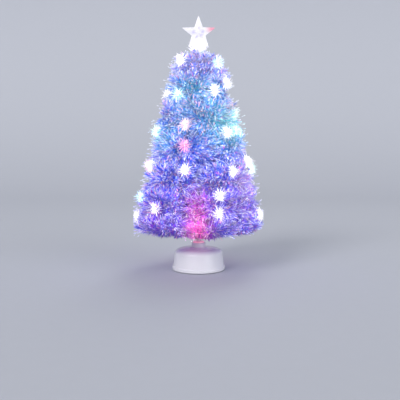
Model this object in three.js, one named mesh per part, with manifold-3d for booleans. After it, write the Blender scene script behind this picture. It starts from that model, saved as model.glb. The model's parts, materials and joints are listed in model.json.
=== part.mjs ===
// Tabletop fibre optic Christmas tree, about 0.9 m tall, as an assembly.
// Millimetres, +Z up. The origin is the middle of the base, on the surface that it stands on.
// The front of the tree looks along -Y. The power inlet, the switch and the clamp screw are at the back, +Y.
import * as THREE from "three";
import { mergeVertices } from "three/addons/utils/BufferGeometryUtils.js";
import Module from "manifold-3d";

const wasm = await Module();
wasm.setup();

// Driving dimensions

// Clearances that every piece shares
const gap = 0.3; // between two pieces that seat against each other
const turnGap = 0.45; // round a pin or a shaft that turns
const overrun = 2; // how far a cut runs past the wall that it goes through

// Base: a moulded pot with a plinth band, a domed shoulder and a neck that takes the trunk
const base = { radius: 95, wall: 2.6, rimLift: 2, bandTop: 14, bandStep: 3.5, draft: 4.5, skirtTop: 58 };
const shoulder = { radius: 48, top: 78 };
const neck = { radius: 25, foot: 87, top: 98, collarDepth: 34 };
const boss = { radius: 4, holeRadius: 1.5, inset: 3, top: 48, angles: [0, 125, 235] };
const plate = { thick: 2.5, holeRadius: 1.9, headRadius: 4.2, headDepth: 1.2 };
const vent = { inner: 22, outer: 44, width: 4.5, count: 5, firstAngle: -90, step: 30 };
const foot = { radius: 9, height: 5, inset: 29, angles: [-90, 30, 150], waist: 1.2 };
const post = { radius: 3.6, height: 3 };
const panel = { recess: 8.5, halfWidth: 30, low: 17, high: 47, thick: 3 };

// Light unit in the base: a small reflector lamp under a turning wheel of colour filters
const chassis = { thick: 1.2, halfWidth: 22, tab: 11, lampReach: 15, hatNear: 1.2, hatFar: 4.8, hatTop: 33 };
const socket = { halfLength: 9, halfWidth: 7, height: 13, bevel: 2 };
const lamp = { rimRadius: 17.5, height: 25, lip: 2, glass: 1.4, seatRadius: 6.5, seatHeight: 4 };
const lampPin = { offset: 3, radius: 0.8, length: 5 };
const capsule = { radius: 3.6, height: 15, stemRadius: 2.2, stemHeight: 5 };
const motor = { radius: 15.2, height: 15, earReach: 20.5, earHalfWidth: 3.5, earThick: 1, lampRoom: 2.3 };
const bush = { radius: 5, height: 2 };
const wheel = { room: 2.4, rimWidth: 3, spokeWidth: 2.4, thick: 2, hubRadius: 8, hubHeight: 4, low: 55.5 };
const windows = 4; // windows in the wheel: three hold a filter and one is open
const filter = { thick: 0.8, side: 0.4 };
const shaft = { radius: 2, sink: 9 };
const board = { x: 50, halfLength: 23, halfWidth: 13, thick: 1.6, chip: 4.5, chipHeight: 2.4 };
const capacitor = { radius: 5, height: 13, inset: 8 };

// At the back of the base
const inlet = { x: -15, z: 32, radius: 5.4, flange: 7.5, flangeThick: 2, length: 15 };
const inletBore = { radius: 2.9, depth: 9, pinRadius: 1 };
const rocker = { x: 14, z: 32, length: 15, width: 8.4, depth: 7, rise: 3.4, valley: 1.6, ease: 0.5 };
const rockerPin = { radius: 1, length: 0.9, sink: 2.2 };
const rockerTilt = 11; // degrees, to either side of level
const bezel = { border: 2.6, thick: 2, wall: 1.3, depth: 13 };
const lug = { halfWidth: 1.6, thick: 0.8, length: 6, spreadShare: 0.28 };
const clamp = { z: 91, radius: 2, bossRadius: 5, bossReach: 4, grip: 7 };
const knob = { radius: 7, length: 9, standOff: 8, flutes: 8, fluteRadius: 1.4 };

// Trunk: a steel tube that carries the bundle of fibres up from a ferrule above the lamp
const trunk = { radius: 8, wall: 1, bottom: 74, topRoom: 114 };
const ferrule = { radius: 14, bottom: 60.5, flangeRadius: 20, flangeThick: 4 };
const bundle = { radius: 5.2, ripple: 0.5, lobes: 6, topInset: 6 };
const slot = { halfWidth: 2.3, height: 15, lift: 4, perTier: 2 };

// Hubs on the trunk, with a slot and a hinge pin for each branch
const hub = { radius: 20.5, height: 9, pivotRadius: 15.5, slotFloor: 11.4, slotHalfWidth: 2.2 };
const hinge = { pinRadius: 1, bite: 1 };
const eye = { radius: 3.4, halfThick: 1.8, neckLength: 13, neckHalfHeight: 1.9 };

// Foliage: how long the longest branches are, how high their hinges lie, and how far above them the last
// tier's hinges are
const foliage = { branchLength: 210, lowTier: 150, tierSpan: 430 };

// Tiers of hinged branches: where each one is in that span, and its branches' share of the longest. The
// azimuth of the first branch runs from the front, -Y, towards +X. Half is how far a branch's foliage stands
// above and below its stem at the widest.
const tiers = [
  { heightShare: 0, lengthShare: 1, count: 6, azimuth: 14, rise: -1, half: 37 },
  { heightShare: 0.158, lengthShare: 0.93, count: 5, azimuth: 18, rise: 7.5, half: 31 },
  { heightShare: 0.344, lengthShare: 0.82, count: 4, azimuth: 45, rise: 13.5, half: 35 },
  { heightShare: 0.554, lengthShare: 0.7, count: 3, azimuth: -35, rise: 20, half: 38 },
  { heightShare: 0.777, lengthShare: 0.58, count: 3, azimuth: 25, rise: 28, half: 40 },
  { heightShare: 1, lengthShare: 0.47, count: 3, azimuth: -32, rise: 35, half: 37 },
];

// One branch: a stem with whorls of needled sprigs. Every other point of a whorl is a sprig that stands out,
// swept forward, to the edge of the branch's sector, and the points between them stay near the stem.
const stem = { radius: 2.3, bare: 12, whorls: 4 };
const whorl = { points: 12, sweep: 16, edgeGap: 6 };
const fullShare = 0.8; // 1 makes a whorl's outline oval, and less makes it fill the corners
const whorlShares = { rim: 0.66, valley: 0.18, waist: 0.12, first: 0.6 };

// Crown: the fixed top of the tree
const cap = { wall: 1.8, depth: 14, topThick: 3 };
const crown = { shoots: 3, azimuth: 25, reach: 88, rise: 31, half: 27, bare: 18, whorls: 3 };
const leader = { radius: 3.4, length: 77.7, collarRadius: 6.2, collarThick: 2 };
const topWhorl = { bareLength: 12, count: 3, points: 10, reach: 26 };
const spigot = { radius: 4, length: 30 };

// Star: two moulded half shells on a sleeve that pushes down over the spigot, with a lamp inside
const starLamp = { radius: 3, length: 11 };
const star = { radius: 62, waistShare: 0.4, bulge: 1.6, rim: 2, depth: 11, wall: 1.8, points: 5, lift: 63 };
const innerStar = { radius: 27, depth: 14 };
const sleeve = { wall: 1.7, lift: 1, cover: 12, flareRadius: 8.8, flareHeight: 9 };

const roundSides = 24; // facets round the base
const hubSides = 16; // facets round a hub and the ferrule
const tubeSides = 12; // facets round the trunk and what fits on it
const smallSides = 8; // facets round a small round piece
const pinSides = 6; // facets round a hinge pin and its hole
const potSteps = 3; // facets along each curve of the base's outside
const bowlSteps = 4; // facets along each curve of the lamp's reflector and of small rounded tops
const wheelSteps = 5; // facets along the rim of one window of the wheel

// Sizes worked out from the ones above
const degree = Math.PI / 180;
const turn = 2 * Math.PI;
const bodyRadius = base.radius - base.bandStep;
const skirtTopRadius = bodyRadius - base.draft;
const bossRing = skirtTopRadius - boss.inset;
const footRing = base.radius - foot.inset;
const panelFace = bodyRadius - panel.recess;
const wheelX = -(lamp.rimRadius + motor.lampRoom + motor.radius);
const wheelRadius = skirtTopRadius - base.wall - wheel.room + wheelX;
const hatRight = wheelX + motor.radius + chassis.hatNear;
const hatLeft = wheelX - motor.radius - chassis.hatFar;
const chassisLeft = hatLeft - chassis.tab;
const plateLow = foot.height;
const plateTop = plateLow + plate.thick;
const chassisLow = plateTop + post.height;
const chassisTop = chassisLow + chassis.thick;
const collarBore = ferrule.radius + gap;
const collarBottom = neck.top - neck.collarDepth;
const lampLow = chassisTop + socket.height + gap;
const motorLow = chassis.hatTop + gap;
const motorTop = motorLow + motor.height;
const wheelTop = wheel.low + wheel.thick;
const pivotY = panelFace + gap + bezel.thick - rockerPin.sink;
const clampReach = neck.radius + clamp.bossReach;
const knobNear = clampReach + knob.standOff;
const trunkBore = trunk.radius + gap;
const trunkTop = foliage.lowTier + foliage.tierSpan + trunk.topRoom;
const capTop = trunkTop + gap + cap.topThick;
const leaderTop = capTop + leader.length;
const spigotTop = leaderTop + spigot.length;
const starCentre = leaderTop + star.lift;
const sleeveInner = spigot.radius + gap;
const sleeveOuter = sleeveInner + sleeve.wall;
const sleeveLow = leaderTop + sleeve.lift;
const sleeveTop = starCentre - star.radius * star.waistShare + sleeve.cover;

// Materials
function paint(color, roughness, metalness = 0, opacity = 1) {
  return new THREE.MeshStandardMaterial({ color, roughness, metalness, opacity, transparent: opacity < 1 });
}
const whitePlastic = paint(0xf1f0f4, 0.4);
const greyPlastic = paint(0x8d9098, 0.5);
const blackPlastic = paint(0x1c1c20, 0.45);
const rubber = paint(0x2a2a2c, 0.9);
const steel = paint(0xb9bcc2, 0.35, 0.9);
const ceramic = paint(0xe9e4d8, 0.7);
const mirrorGlass = paint(0xdfe6ff, 0.1, 0.2, 0.6);
const clearPlastic = paint(0xf4f6ff, 0.15, 0, 0.6);
const boardGreen = paint(0x2f7a48, 0.55);
const pearlFoliage = paint(0xdcdcf8, 0.45);
const fibre = paint(0xe8efff, 0.2, 0, 0.8);
const gels = { blue: 0x2a4fe0, red: 0xe0242e, green: 0x1fae4b };

// A closed three.js geometry becomes a solid that can be joined and cut
function solid(geometry) {
  const bare = geometry.clone();
  bare.deleteAttribute("normal");
  bare.deleteAttribute("uv");
  const merged = mergeVertices(bare);
  const corners = merged.attributes.position;
  const index = merged.index.array;
  const kept = [];
  let volume = 0;
  const [a, b, c] = [0, 1, 2].map(() => new THREE.Vector3());
  for (let i = 0; i < index.length; i += 3) {
    const [p, q, r] = index.slice(i, i + 3);
    if (p === q || q === r || r === p) continue;
    kept.push(p, q, r);
    a.fromBufferAttribute(corners, p);
    b.fromBufferAttribute(corners, q);
    c.fromBufferAttribute(corners, r);
    volume += a.dot(b.cross(c));
  }
  if (volume < 0) kept.reverse();
  const mesh = { numProp: 3, vertProperties: corners.array, triVerts: new Uint32Array(kept) };
  return new wasm.Manifold(new wasm.Mesh(mesh));
}

// The solid goes back to a three.js geometry with flat faces
function geometryOf(made) {
  const mesh = made.getMesh();
  const geometry = new THREE.BufferGeometry();
  geometry.setAttribute("position", new THREE.BufferAttribute(new Float32Array(mesh.vertProperties), 3));
  geometry.setIndex(new THREE.BufferAttribute(new Uint32Array(mesh.triVerts), 1));
  const flat = geometry.toNonIndexed();
  flat.computeVertexNormals();
  return flat;
}

const join = (first, ...others) => others.reduce((whole, other) => whole.add(other), first);
const cut = (first, ...others) => others.reduce((whole, other) => whole.subtract(other), first);

// A short upright cylinder from z = low to high
function disc(radius, low, high, sides = smallSides, x = 0, y = 0) {
  const geometry = new THREE.CylinderGeometry(radius, radius, high - low, sides).rotateX(Math.PI / 2);
  return solid(geometry.translate(x, y, (low + high) / 2));
}

// A cylinder along Y, from y = near to far
function rod(radius, x, z, near, far, sides = smallSides) {
  const geometry = new THREE.CylinderGeometry(radius, radius, far - near, sides);
  return solid(geometry.translate(x, (near + far) / 2, z));
}

// A cylinder along X, from x = left to right
function pinAlongX(radius, left, right, y, z) {
  const geometry = new THREE.CylinderGeometry(radius, radius, right - left, smallSides).rotateZ(Math.PI / 2);
  return solid(geometry.translate((left + right) / 2, y, z));
}

function block(x0, x1, y0, y1, z0, z1) {
  const geometry = new THREE.BoxGeometry(x1 - x0, y1 - y0, z1 - z0);
  return solid(geometry.translate((x0 + x1) / 2, (y0 + y1) / 2, (z0 + z1) / 2));
}

// Points of a path as [radius, z] pairs
const pairs = (path, steps = bowlSteps) => path.getPoints(steps).map((point) => [point.x, point.y]);

// A profile of [radius, z] pairs turned round Z. It ends on the axis or closes on itself.
function revolve(profile, sides = tubeSides) {
  const points = profile.map(([radius, z]) => new THREE.Vector2(radius, z));
  const onAxis = profile[0][0] === 0 && profile.at(-1)[0] === 0;
  if (!onAxis) points.push(points[0].clone());
  return solid(new THREE.LatheGeometry(points, sides).rotateX(Math.PI / 2));
}

// A flat outline in XY made thick, from z = low to high
function slab(shape, low, high, curveSegments = smallSides) {
  const geometry = new THREE.ExtrudeGeometry(shape, { depth: high - low, bevelEnabled: false, curveSegments });
  return solid(geometry.translate(0, 0, low));
}

// A skin over rings of points that have the same count. A ring of one point is an end that comes to a tip.
function loft(rings) {
  const position = [];
  const index = [];
  const starts = [];
  for (const ring of rings) {
    starts.push(position.length / 3);
    for (const point of ring) position.push(...point.toArray());
  }
  const sides = rings[0].length;
  for (let i = 0; i + 1 < rings.length; i++)
    for (let k = 0; k < sides; k++) {
      const a = starts[i] + k;
      const b = starts[i] + ((k + 1) % sides);
      if (rings[i + 1].length === 1) {
        index.push(a, b, starts[i + 1]);
        continue;
      }
      const c = starts[i + 1] + k;
      const d = starts[i + 1] + ((k + 1) % sides);
      index.push(a, b, d, a, d, c);
    }
  for (let k = 1; k + 1 < sides; k++) index.push(0, k + 1, k);
  const last = starts.at(-1);
  if (rings.at(-1).length > 1) for (let k = 1; k + 1 < sides; k++) index.push(last, last + k, last + k + 1);
  const geometry = new THREE.BufferGeometry();
  geometry.setAttribute("position", new THREE.BufferAttribute(new Float32Array(position), 3));
  geometry.setIndex(index);
  return solid(geometry);
}

// Groups of the scene graph: what lifts out of the base, and what lifts off the tree
const whole = new THREE.Group();
const treeGroup = new THREE.Group();
const starGroup = new THREE.Group();
starGroup.position.z = starCentre;
treeGroup.add(starGroup);
whole.add(treeGroup);

function add(name, made, material, parent = whole) {
  const mesh = new THREE.Mesh(geometryOf(made), material);
  mesh.name = name;
  parent.add(mesh);
  return mesh;
}

// Base shell: outside of the pot, or with an inset the inside of its wall
function potProfile(inset, steps) {
  const path = new THREE.Path();
  path.moveTo(base.radius - inset, base.rimLift);
  path.lineTo(base.radius - inset, base.bandTop - inset);
  path.lineTo(bodyRadius - inset, base.bandTop - inset);
  path.lineTo(skirtTopRadius - inset, base.skirtTop);
  const top = shoulder.top - inset;
  path.quadraticCurveTo(skirtTopRadius - inset, top, shoulder.radius, top);
  path.quadraticCurveTo(neck.radius - inset, top, neck.radius - inset, neck.foot - inset);
  path.lineTo(neck.radius - inset, neck.top - inset);
  return pairs(path, steps);
}

const ringPlaces = (radius, angles) =>
  angles.map((angle) => [radius * Math.cos(angle * degree), radius * Math.sin(angle * degree)]);

function baseShell() {
  const collarOuter = collarBore + base.wall;
  const collar = [
    [collarBore, neck.top],
    [collarBore, collarBottom],
    [collarOuter, collarBottom],
    [collarOuter, neck.top - base.wall],
  ];
  const inside = potProfile(base.wall, potSteps - 1).reverse();
  const pot = revolve([...potProfile(0, potSteps), ...collar, ...inside], roundSides);
  const { halfWidth, thick, low, high } = panel;
  const pad = block(-halfWidth, halfWidth, panelFace - thick, panelFace + thick, low, high);
  const padInside = pad.intersect(disc(skirtTopRadius, low, high, roundSides));
  const edge = halfWidth - base.wall;
  const recess = block(-edge, edge, panelFace, base.radius + overrun, low + base.wall, high - base.wall);
  const places = ringPlaces(bossRing, boss.angles);
  const posts = places.map(([x, y]) => disc(boss.radius, plateTop + gap, boss.top, smallSides, x, y));
  const holeTop = boss.top - base.wall;
  const screwHoles = places.map(([x, y]) => disc(boss.holeRadius, plateLow, holeTop, smallSides, x, y));
  const clampBoss = rod(clamp.bossRadius, 0, clamp.z, collarBore + base.wall / 2, clampReach);
  const clampHole = rod(clamp.radius + turnGap, 0, clamp.z, 0, clampReach + overrun);
  const behind = panelFace - thick - overrun;
  const inletHole = rod(inlet.radius + gap, inlet.x, inlet.z, behind, base.radius, tubeSides);
  const switchHole = bezelBody(gap);
  const moulding = join(pot, padInside, clampBoss, ...posts);
  return cut(moulding, recess, clampHole, inletHole, switchHole, ...screwHoles);
}

// Base plate: a disc that fits inside the rim, with vents under the lamp and posts for what stands on it
function basePlate() {
  const round = disc(base.radius - base.wall - gap, plateLow, plateTop, roundSides);
  const screwHoles = ringPlaces(bossRing, boss.angles).flatMap(([x, y]) => [
    disc(plate.holeRadius, plateLow - overrun, plateTop + overrun, smallSides, x, y),
    disc(plate.headRadius, plateLow - overrun, plateLow + plate.headDepth, smallSides, x, y),
  ]);
  const vents = Array.from({ length: vent.count }, (_, k) => {
    const geometry = new THREE.BoxGeometry(vent.outer - vent.inner, vent.width, plate.thick + 2 * overrun);
    geometry.translate((vent.inner + vent.outer) / 2, 0, (plateLow + plateTop) / 2);
    const middle = (vent.count - 1) / 2;
    return solid(geometry.rotateZ((vent.firstAngle + (k - middle) * vent.step) * degree));
  });
  const posts = [...chassisPosts(), ...boardPosts()].map(([x, y]) =>
    disc(post.radius, plateTop - plate.thick / 2, chassisLow, smallSides, x, y),
  );
  return cut(join(round, ...posts), ...screwHoles, ...vents);
}

function chassisPosts() {
  const y = chassis.halfWidth - post.radius;
  const left = chassisLeft + post.radius;
  const right = chassis.lampReach - post.radius;
  return [left, right].flatMap((x) => [-y, y].map((side) => [x, side]));
}

function boardPosts() {
  const y = board.halfLength - post.radius;
  return [-y, y].map((side) => [board.x, side]);
}

// A rubber foot, waisted so that it can be pressed into its seat
function rubberFoot() {
  const { radius, height, waist } = foot;
  return revolve([
    [0, 0],
    [radius - waist, 0],
    [radius, height / 3],
    [radius - waist, height],
    [0, height],
  ]);
}

// Steel strip bent into a hat that carries the motor, with a flat that carries the lamp
function lampChassis() {
  const { thick, lampReach, hatTop, halfWidth } = chassis;
  const shape = new THREE.Shape();
  shape.moveTo(chassisLeft, chassisLow);
  shape.lineTo(hatLeft, chassisLow);
  shape.lineTo(hatLeft, hatTop - thick);
  shape.lineTo(hatRight, hatTop - thick);
  shape.lineTo(hatRight, chassisLow);
  shape.lineTo(lampReach, chassisLow);
  shape.lineTo(lampReach, chassisTop);
  shape.lineTo(hatRight + thick, chassisTop);
  shape.lineTo(hatRight + thick, hatTop);
  shape.lineTo(hatLeft - thick, hatTop);
  shape.lineTo(hatLeft - thick, chassisTop);
  shape.lineTo(chassisLeft, chassisTop);
  const geometry = new THREE.ExtrudeGeometry(shape, { depth: 2 * halfWidth, bevelEnabled: false });
  return solid(geometry.translate(0, 0, -halfWidth).rotateX(Math.PI / 2));
}

// Ceramic lamp socket with its top edges taken off, and two holes for the pins of the lamp
function lampSocket() {
  const { halfLength, halfWidth, height, bevel } = socket;
  const top = chassisTop + height;
  const shape = new THREE.Shape();
  shape.moveTo(-halfLength, chassisTop);
  shape.lineTo(halfLength, chassisTop);
  shape.lineTo(halfLength, top - bevel);
  shape.lineTo(halfLength - bevel, top);
  shape.lineTo(-halfLength + bevel, top);
  shape.lineTo(-halfLength, top - bevel);
  const geometry = new THREE.ExtrudeGeometry(shape, { depth: 2 * halfWidth, bevelEnabled: false });
  const body = solid(geometry.translate(0, 0, -halfWidth).rotateX(Math.PI / 2));
  const depth = lampPin.length + gap;
  const holes = [-1, 1].map((side) =>
    disc(lampPin.radius + gap, top - depth, top + overrun, smallSides, side * lampPin.offset),
  );
  return cut(body, ...holes);
}

// Glass reflector: a bowl on a solid seat, with two pins below it
function lampReflector() {
  const { rimRadius, height, lip, glass, seatRadius, seatHeight } = lamp;
  const seatTop = lampLow + seatHeight;
  const rimLow = lampLow + height - lip;
  const outside = new THREE.Path();
  outside.moveTo(seatRadius, seatTop);
  outside.quadraticCurveTo(rimRadius - glass, seatTop, rimRadius - glass, rimLow);
  const inside = new THREE.Path();
  inside.moveTo(rimRadius - 2 * glass, rimLow + lip);
  inside.quadraticCurveTo(rimRadius - 2 * glass, seatTop + glass, capsule.stemRadius + gap, seatTop + glass);
  const bowl = revolve([
    [0, lampLow],
    [seatRadius, lampLow],
    ...pairs(outside),
    [rimRadius, rimLow],
    [rimRadius, rimLow + lip],
    ...pairs(inside),
    [capsule.stemRadius + gap, seatTop - seatHeight / 2],
    [0, seatTop - seatHeight / 2],
  ]);
  const pins = [-1, 1].map((side) =>
    disc(lampPin.radius, lampLow - lampPin.length, lampLow + glass, smallSides, side * lampPin.offset),
  );
  return join(bowl, ...pins);
}

// The lamp's glass capsule, with a round top and a narrower stem in the seat of the reflector
function lampCapsule() {
  const { radius, height, stemRadius, stemHeight } = capsule;
  const low = lampLow + lamp.seatHeight / 2 + gap;
  const path = new THREE.Path();
  path.moveTo(0, low);
  path.lineTo(stemRadius, low);
  path.lineTo(stemRadius, low + stemHeight);
  path.lineTo(radius, low + stemHeight + radius / 2);
  path.lineTo(radius, low + height - radius);
  path.quadraticCurveTo(radius, low + height, 0, low + height);
  return revolve(pairs(path, bowlSteps - 1), smallSides);
}

// Geared motor on the wheel's axis: a can with two ears and a bush, and a blind bore for the shaft
function wheelMotor() {
  const { radius, earReach, earHalfWidth, earThick } = motor;
  const can = disc(radius, motorLow, motorTop, tubeSides);
  const ears = block(-earHalfWidth, earHalfWidth, -earReach, earReach, motorLow, motorLow + earThick);
  const top = motorTop + bush.height;
  const collar = disc(bush.radius, motorTop - earThick, top);
  const bore = disc(shaft.radius + turnGap, top - shaft.sink - gap, top + overrun);
  return cut(join(can, ears, collar), bore);
}

function wheelShaft() {
  return disc(shaft.radius, motorTop + bush.height - shaft.sink, wheel.low + wheel.hubHeight);
}

// A sector between two radii, with straight sides that lie a set distance inside the sector's edges
function sector(inner, outer, angle, side) {
  const shape = new THREE.Shape();
  const innerTurn = Math.asin(side / inner);
  const outerTurn = Math.asin(side / outer);
  shape.absarc(0, 0, outer, outerTurn, angle - outerTurn, false);
  shape.absarc(0, 0, inner, angle - innerTurn, innerTurn, true);
  return shape;
}

// The first window is over the lamp, which lies on the +X side of the wheel's axis
const windowAngle = turn / windows;
const windowTurn = (k) => (k - 1 / 2) * windowAngle;

// Frame of the colour wheel: a rim, a hub and the spokes that part the windows
function wheelFrame() {
  const { rimWidth, spokeWidth, hubRadius, hubHeight, low, thick } = wheel;
  const full = disc(wheelRadius, low, wheelTop, roundSides);
  const middle = disc(hubRadius, low, low + hubHeight);
  const openings = Array.from({ length: windows }, (_, k) => {
    const shape = sector(hubRadius, wheelRadius - rimWidth, windowAngle, spokeWidth / 2);
    const opening = slab(shape, low - thick / 2, wheelTop + thick / 2, wheelSteps);
    return opening.rotate([0, 0, windowTurn(k) / degree]);
  });
  const bore = disc(shaft.radius + gap, low - overrun, low + hubHeight + overrun);
  return cut(cut(full, ...openings).add(middle), bore);
}

function colourFilter() {
  const { rimWidth, hubRadius } = wheel;
  const shape = sector(hubRadius + gap, wheelRadius - rimWidth / 2, windowAngle, filter.side);
  return slab(shape, wheelTop, wheelTop + filter.thick, wheelSteps);
}

// Control board: a plate with a chip in the middle and a capacitor at one end
function controlBoard() {
  const { x, halfLength, halfWidth, thick, chip, chipHeight } = board;
  const top = chassisLow + thick;
  const plateOf = block(x - halfWidth, x + halfWidth, -halfLength, halfLength, chassisLow, top);
  const die = block(x - chip, x + chip, -chip, chip, top - thick / 2, top + chipHeight);
  const canY = capacitor.inset - halfLength;
  const can = disc(capacitor.radius, top - thick / 2, top + capacitor.height, smallSides, x, canY);
  return join(plateOf, die, can);
}

// Power inlet: a flanged barrel through the panel, with a bore and a contact pin
function powerInlet() {
  const front = panelFace + gap + inlet.flangeThick;
  const barrel = rod(inlet.radius, inlet.x, inlet.z, panelFace - inlet.length, front, tubeSides);
  const flange = rod(inlet.flange, inlet.x, inlet.z, panelFace + gap, front, tubeSides);
  const floor = front - inletBore.depth;
  const bore = rod(inletBore.radius, inlet.x, inlet.z, floor, front + overrun);
  const pin = rod(inletBore.pinRadius, inlet.x, inlet.z, floor - overrun, front - inlet.flangeThick);
  return cut(join(barrel, flange), bore).add(pin);
}

// Box of the switch behind the panel, or with a growth the hole that it goes through
function bezelBody(growth) {
  const { x, z, length, width } = rocker;
  const halfLength = length / 2 + gap + bezel.wall + growth;
  const halfWidth = width / 2 + gap + bezel.wall + growth;
  const back = panelFace - bezel.depth - growth;
  const front = panelFace + gap + growth;
  return block(x - halfWidth, x + halfWidth, back, front, z - halfLength, z + halfLength);
}

function switchBezel() {
  const { x, z, length, width } = rocker;
  const front = panelFace + gap + bezel.thick;
  const halfLength = length / 2 + bezel.border;
  const halfWidth = width / 2 + bezel.border;
  const flange = block(x - halfWidth, x + halfWidth, panelFace + gap, front, z - halfLength, z + halfLength);
  const back = panelFace - bezel.depth;
  const roomX = width / 2 + gap;
  const roomZ = length / 2 + gap;
  const room = block(x - roomX, x + roomX, back + bezel.wall, front + overrun, z - roomZ, z + roomZ);
  const reach = roomX + bezel.wall + overrun;
  const pinHole = pinAlongX(rockerPin.radius + turnGap, x - reach, x + reach, pivotY, z);
  const lugs = [-1, 1].map((side) => {
    const middle = z + side * lug.spreadShare * length;
    const near = back - lug.length;
    const far = back + bezel.wall / 2;
    return block(x - lug.halfWidth, x + lug.halfWidth, near, far, middle, middle + lug.thick);
  });
  return join(cut(join(flange, bezelBody(0)), room, pinHole), ...lugs);
}

// Rocker, drawn from the side about its pivot: two faces over a rounded keel, and a pin at either side
function switchRocker() {
  const { length, width, depth, rise, valley, ease } = rocker;
  const half = length / 2 - ease;
  const shape = new THREE.Shape();
  shape.moveTo(-half, -depth / 3);
  shape.quadraticCurveTo(0, -depth, half, -depth / 3);
  shape.lineTo(half, rise);
  shape.lineTo(0, valley);
  shape.lineTo(-half, rise);
  const options = { depth: width, bevelEnabled: false, curveSegments: bowlSteps };
  const geometry = new THREE.ExtrudeGeometry(shape, options).translate(0, 0, -width / 2);
  geometry.rotateX(Math.PI).rotateY(-Math.PI / 2).rotateX(Math.PI);
  const reach = width / 2 + rockerPin.length;
  return join(solid(geometry), pinAlongX(rockerPin.radius, -reach, reach, 0, 0));
}

function clampShank() {
  return rod(clamp.radius, 0, clamp.z, ferrule.radius + gap, knobNear + clamp.grip);
}

// Fluted knob on the clamp screw
function clampKnob() {
  const far = knobNear + knob.length;
  const body = rod(knob.radius, 0, clamp.z, knobNear, far, 2 * knob.flutes);
  const flutes = Array.from({ length: knob.flutes }, (_, k) => {
    const angle = (turn * (k + 1 / 2)) / knob.flutes;
    const x = knob.radius * Math.cos(angle);
    const z = clamp.z + knob.radius * Math.sin(angle);
    return rod(knob.fluteRadius, x, z, knobNear - overrun, far + overrun, pinSides);
  });
  const bore = rod(clamp.radius + gap, 0, clamp.z, knobNear - overrun, knobNear + clamp.grip + gap);
  return cut(body, ...flutes, bore);
}

// Ferrule: a plug in the neck of the base, with a flange on its rim, that holds the trunk and the bundle
function trunkFerrule() {
  const { radius, bottom, flangeRadius, flangeThick } = ferrule;
  const bundleBore = bundle.radius + gap;
  return revolve(
    [
      [bundleBore, bottom],
      [radius, bottom],
      [radius, neck.top],
      [flangeRadius, neck.top],
      [flangeRadius, neck.top + flangeThick],
      [trunkBore, neck.top + flangeThick],
      [trunkBore, trunk.bottom - gap],
      [bundleBore, trunk.bottom - gap],
    ],
    hubSides,
  );
}

// Trunk tube, with slots above each hub where fibres come out
function trunkTube() {
  const inner = trunk.radius - trunk.wall;
  const tube = revolve([
    [trunk.radius, trunk.bottom],
    [trunk.radius, trunkTop],
    [inner, trunkTop],
    [inner, trunk.bottom],
  ]);
  const slots = tiers.flatMap((tier) =>
    Array.from({ length: slot.perTier }, (_, k) => {
      const low = tierHeight(tier) + hub.height / 2 + slot.lift;
      const geometry = new THREE.BoxGeometry(trunk.radius + overrun, 2 * slot.halfWidth, slot.height);
      geometry.translate((trunk.radius + overrun) / 2, 0, low + slot.height / 2);
      return solid(geometry.rotateZ(tierTurn(tier) + (k * turn) / slot.perTier));
    }),
  );
  return cut(tube, ...slots);
}

// Bundle of fibres: a rod whose round is rippled by the fibres' outer lobes
function fibreBundle() {
  const { radius, ripple, lobes, topInset } = bundle;
  const steps = 4 * lobes;
  const points = Array.from({ length: steps }, (_, k) => {
    const angle = (turn * k) / steps;
    const reach = radius - ripple * (1 - Math.cos(angle * lobes)) / 2;
    return new THREE.Vector2(reach * Math.cos(angle), reach * Math.sin(angle));
  });
  return slab(new THREE.Shape(points), ferrule.bottom, trunkTop - topInset);
}

// Turn of a tier's first branch, from +X. The azimuth is measured from -Y.
const tierTurn = (tier) => (tier.azimuth - 90) * degree;
const tierHeight = (tier) => foliage.lowTier + foliage.tierSpan * tier.heightShare;

// Hub: a ring on the trunk with a slot for each branch, and a hinge pin across each slot
function branchHub(count) {
  const { radius, height, pivotRadius, slotFloor, slotHalfWidth } = hub;
  const ring = revolve(
    [
      [trunkBore, -height / 2],
      [radius, -height / 2],
      [radius, height / 2],
      [trunkBore, height / 2],
    ],
    hubSides,
  );
  const angles = Array.from({ length: count }, (_, k) => (k * turn) / count);
  const slots = angles.map((angle) => {
    const far = radius + overrun;
    const geometry = new THREE.BoxGeometry(far - slotFloor, 2 * slotHalfWidth, height + 2 * overrun);
    return solid(geometry.translate((far + slotFloor) / 2, 0, 0).rotateZ(angle));
  });
  const pins = angles.map((angle) => {
    const length = 2 * (slotHalfWidth + hinge.bite);
    const geometry = new THREE.CylinderGeometry(hinge.pinRadius, hinge.pinRadius, length, pinSides);
    return solid(geometry.translate(pivotRadius, 0, 0).rotateZ(angle));
  });
  return join(cut(ring, ...slots), ...pins);
}

// Eye of a branch round its hinge pin, and the flat neck that runs out of the slot
function branchEye() {
  const { radius, halfThick, neckLength, neckHalfHeight } = eye;
  const x = hub.pivotRadius;
  const side = halfThick + overrun;
  const round = rod(radius, x, 0, -halfThick, halfThick);
  const neckBlock = block(x, x + neckLength, -halfThick, halfThick, -neckHalfHeight, neckHalfHeight);
  const hole = rod(hinge.pinRadius + turnGap, x, 0, -side, side, pinSides);
  return cut(round.add(neckBlock), hole);
}

// Ring of foliage at a distance from the trunk's axis. It reaches a half turn to either side of the branch
// and a half height above and below its middle. Its valleys, every other point, reach a share of that.
function foliageRing(reach, halfTurn, middle, half, valleyShare, odd) {
  return Array.from({ length: whorl.points }, (_, k) => {
    const angle = (turn * (k + 1 / 2)) / whorl.points;
    const stands = valleyShare < 1 && (k + odd) % 2 === 0;
    const share = stands ? 1 : valleyShare;
    const radius = stands ? reach + whorl.sweep : reach;
    const yaw = halfTurn * share * squared(Math.cos(angle));
    const height = middle + half * share * squared(Math.sin(angle));
    return new THREE.Vector3(radius * Math.cos(yaw), radius * Math.sin(yaw), height);
  });
}

const squared = (value) => Math.sign(value) * Math.abs(value) ** fullShare;

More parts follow.
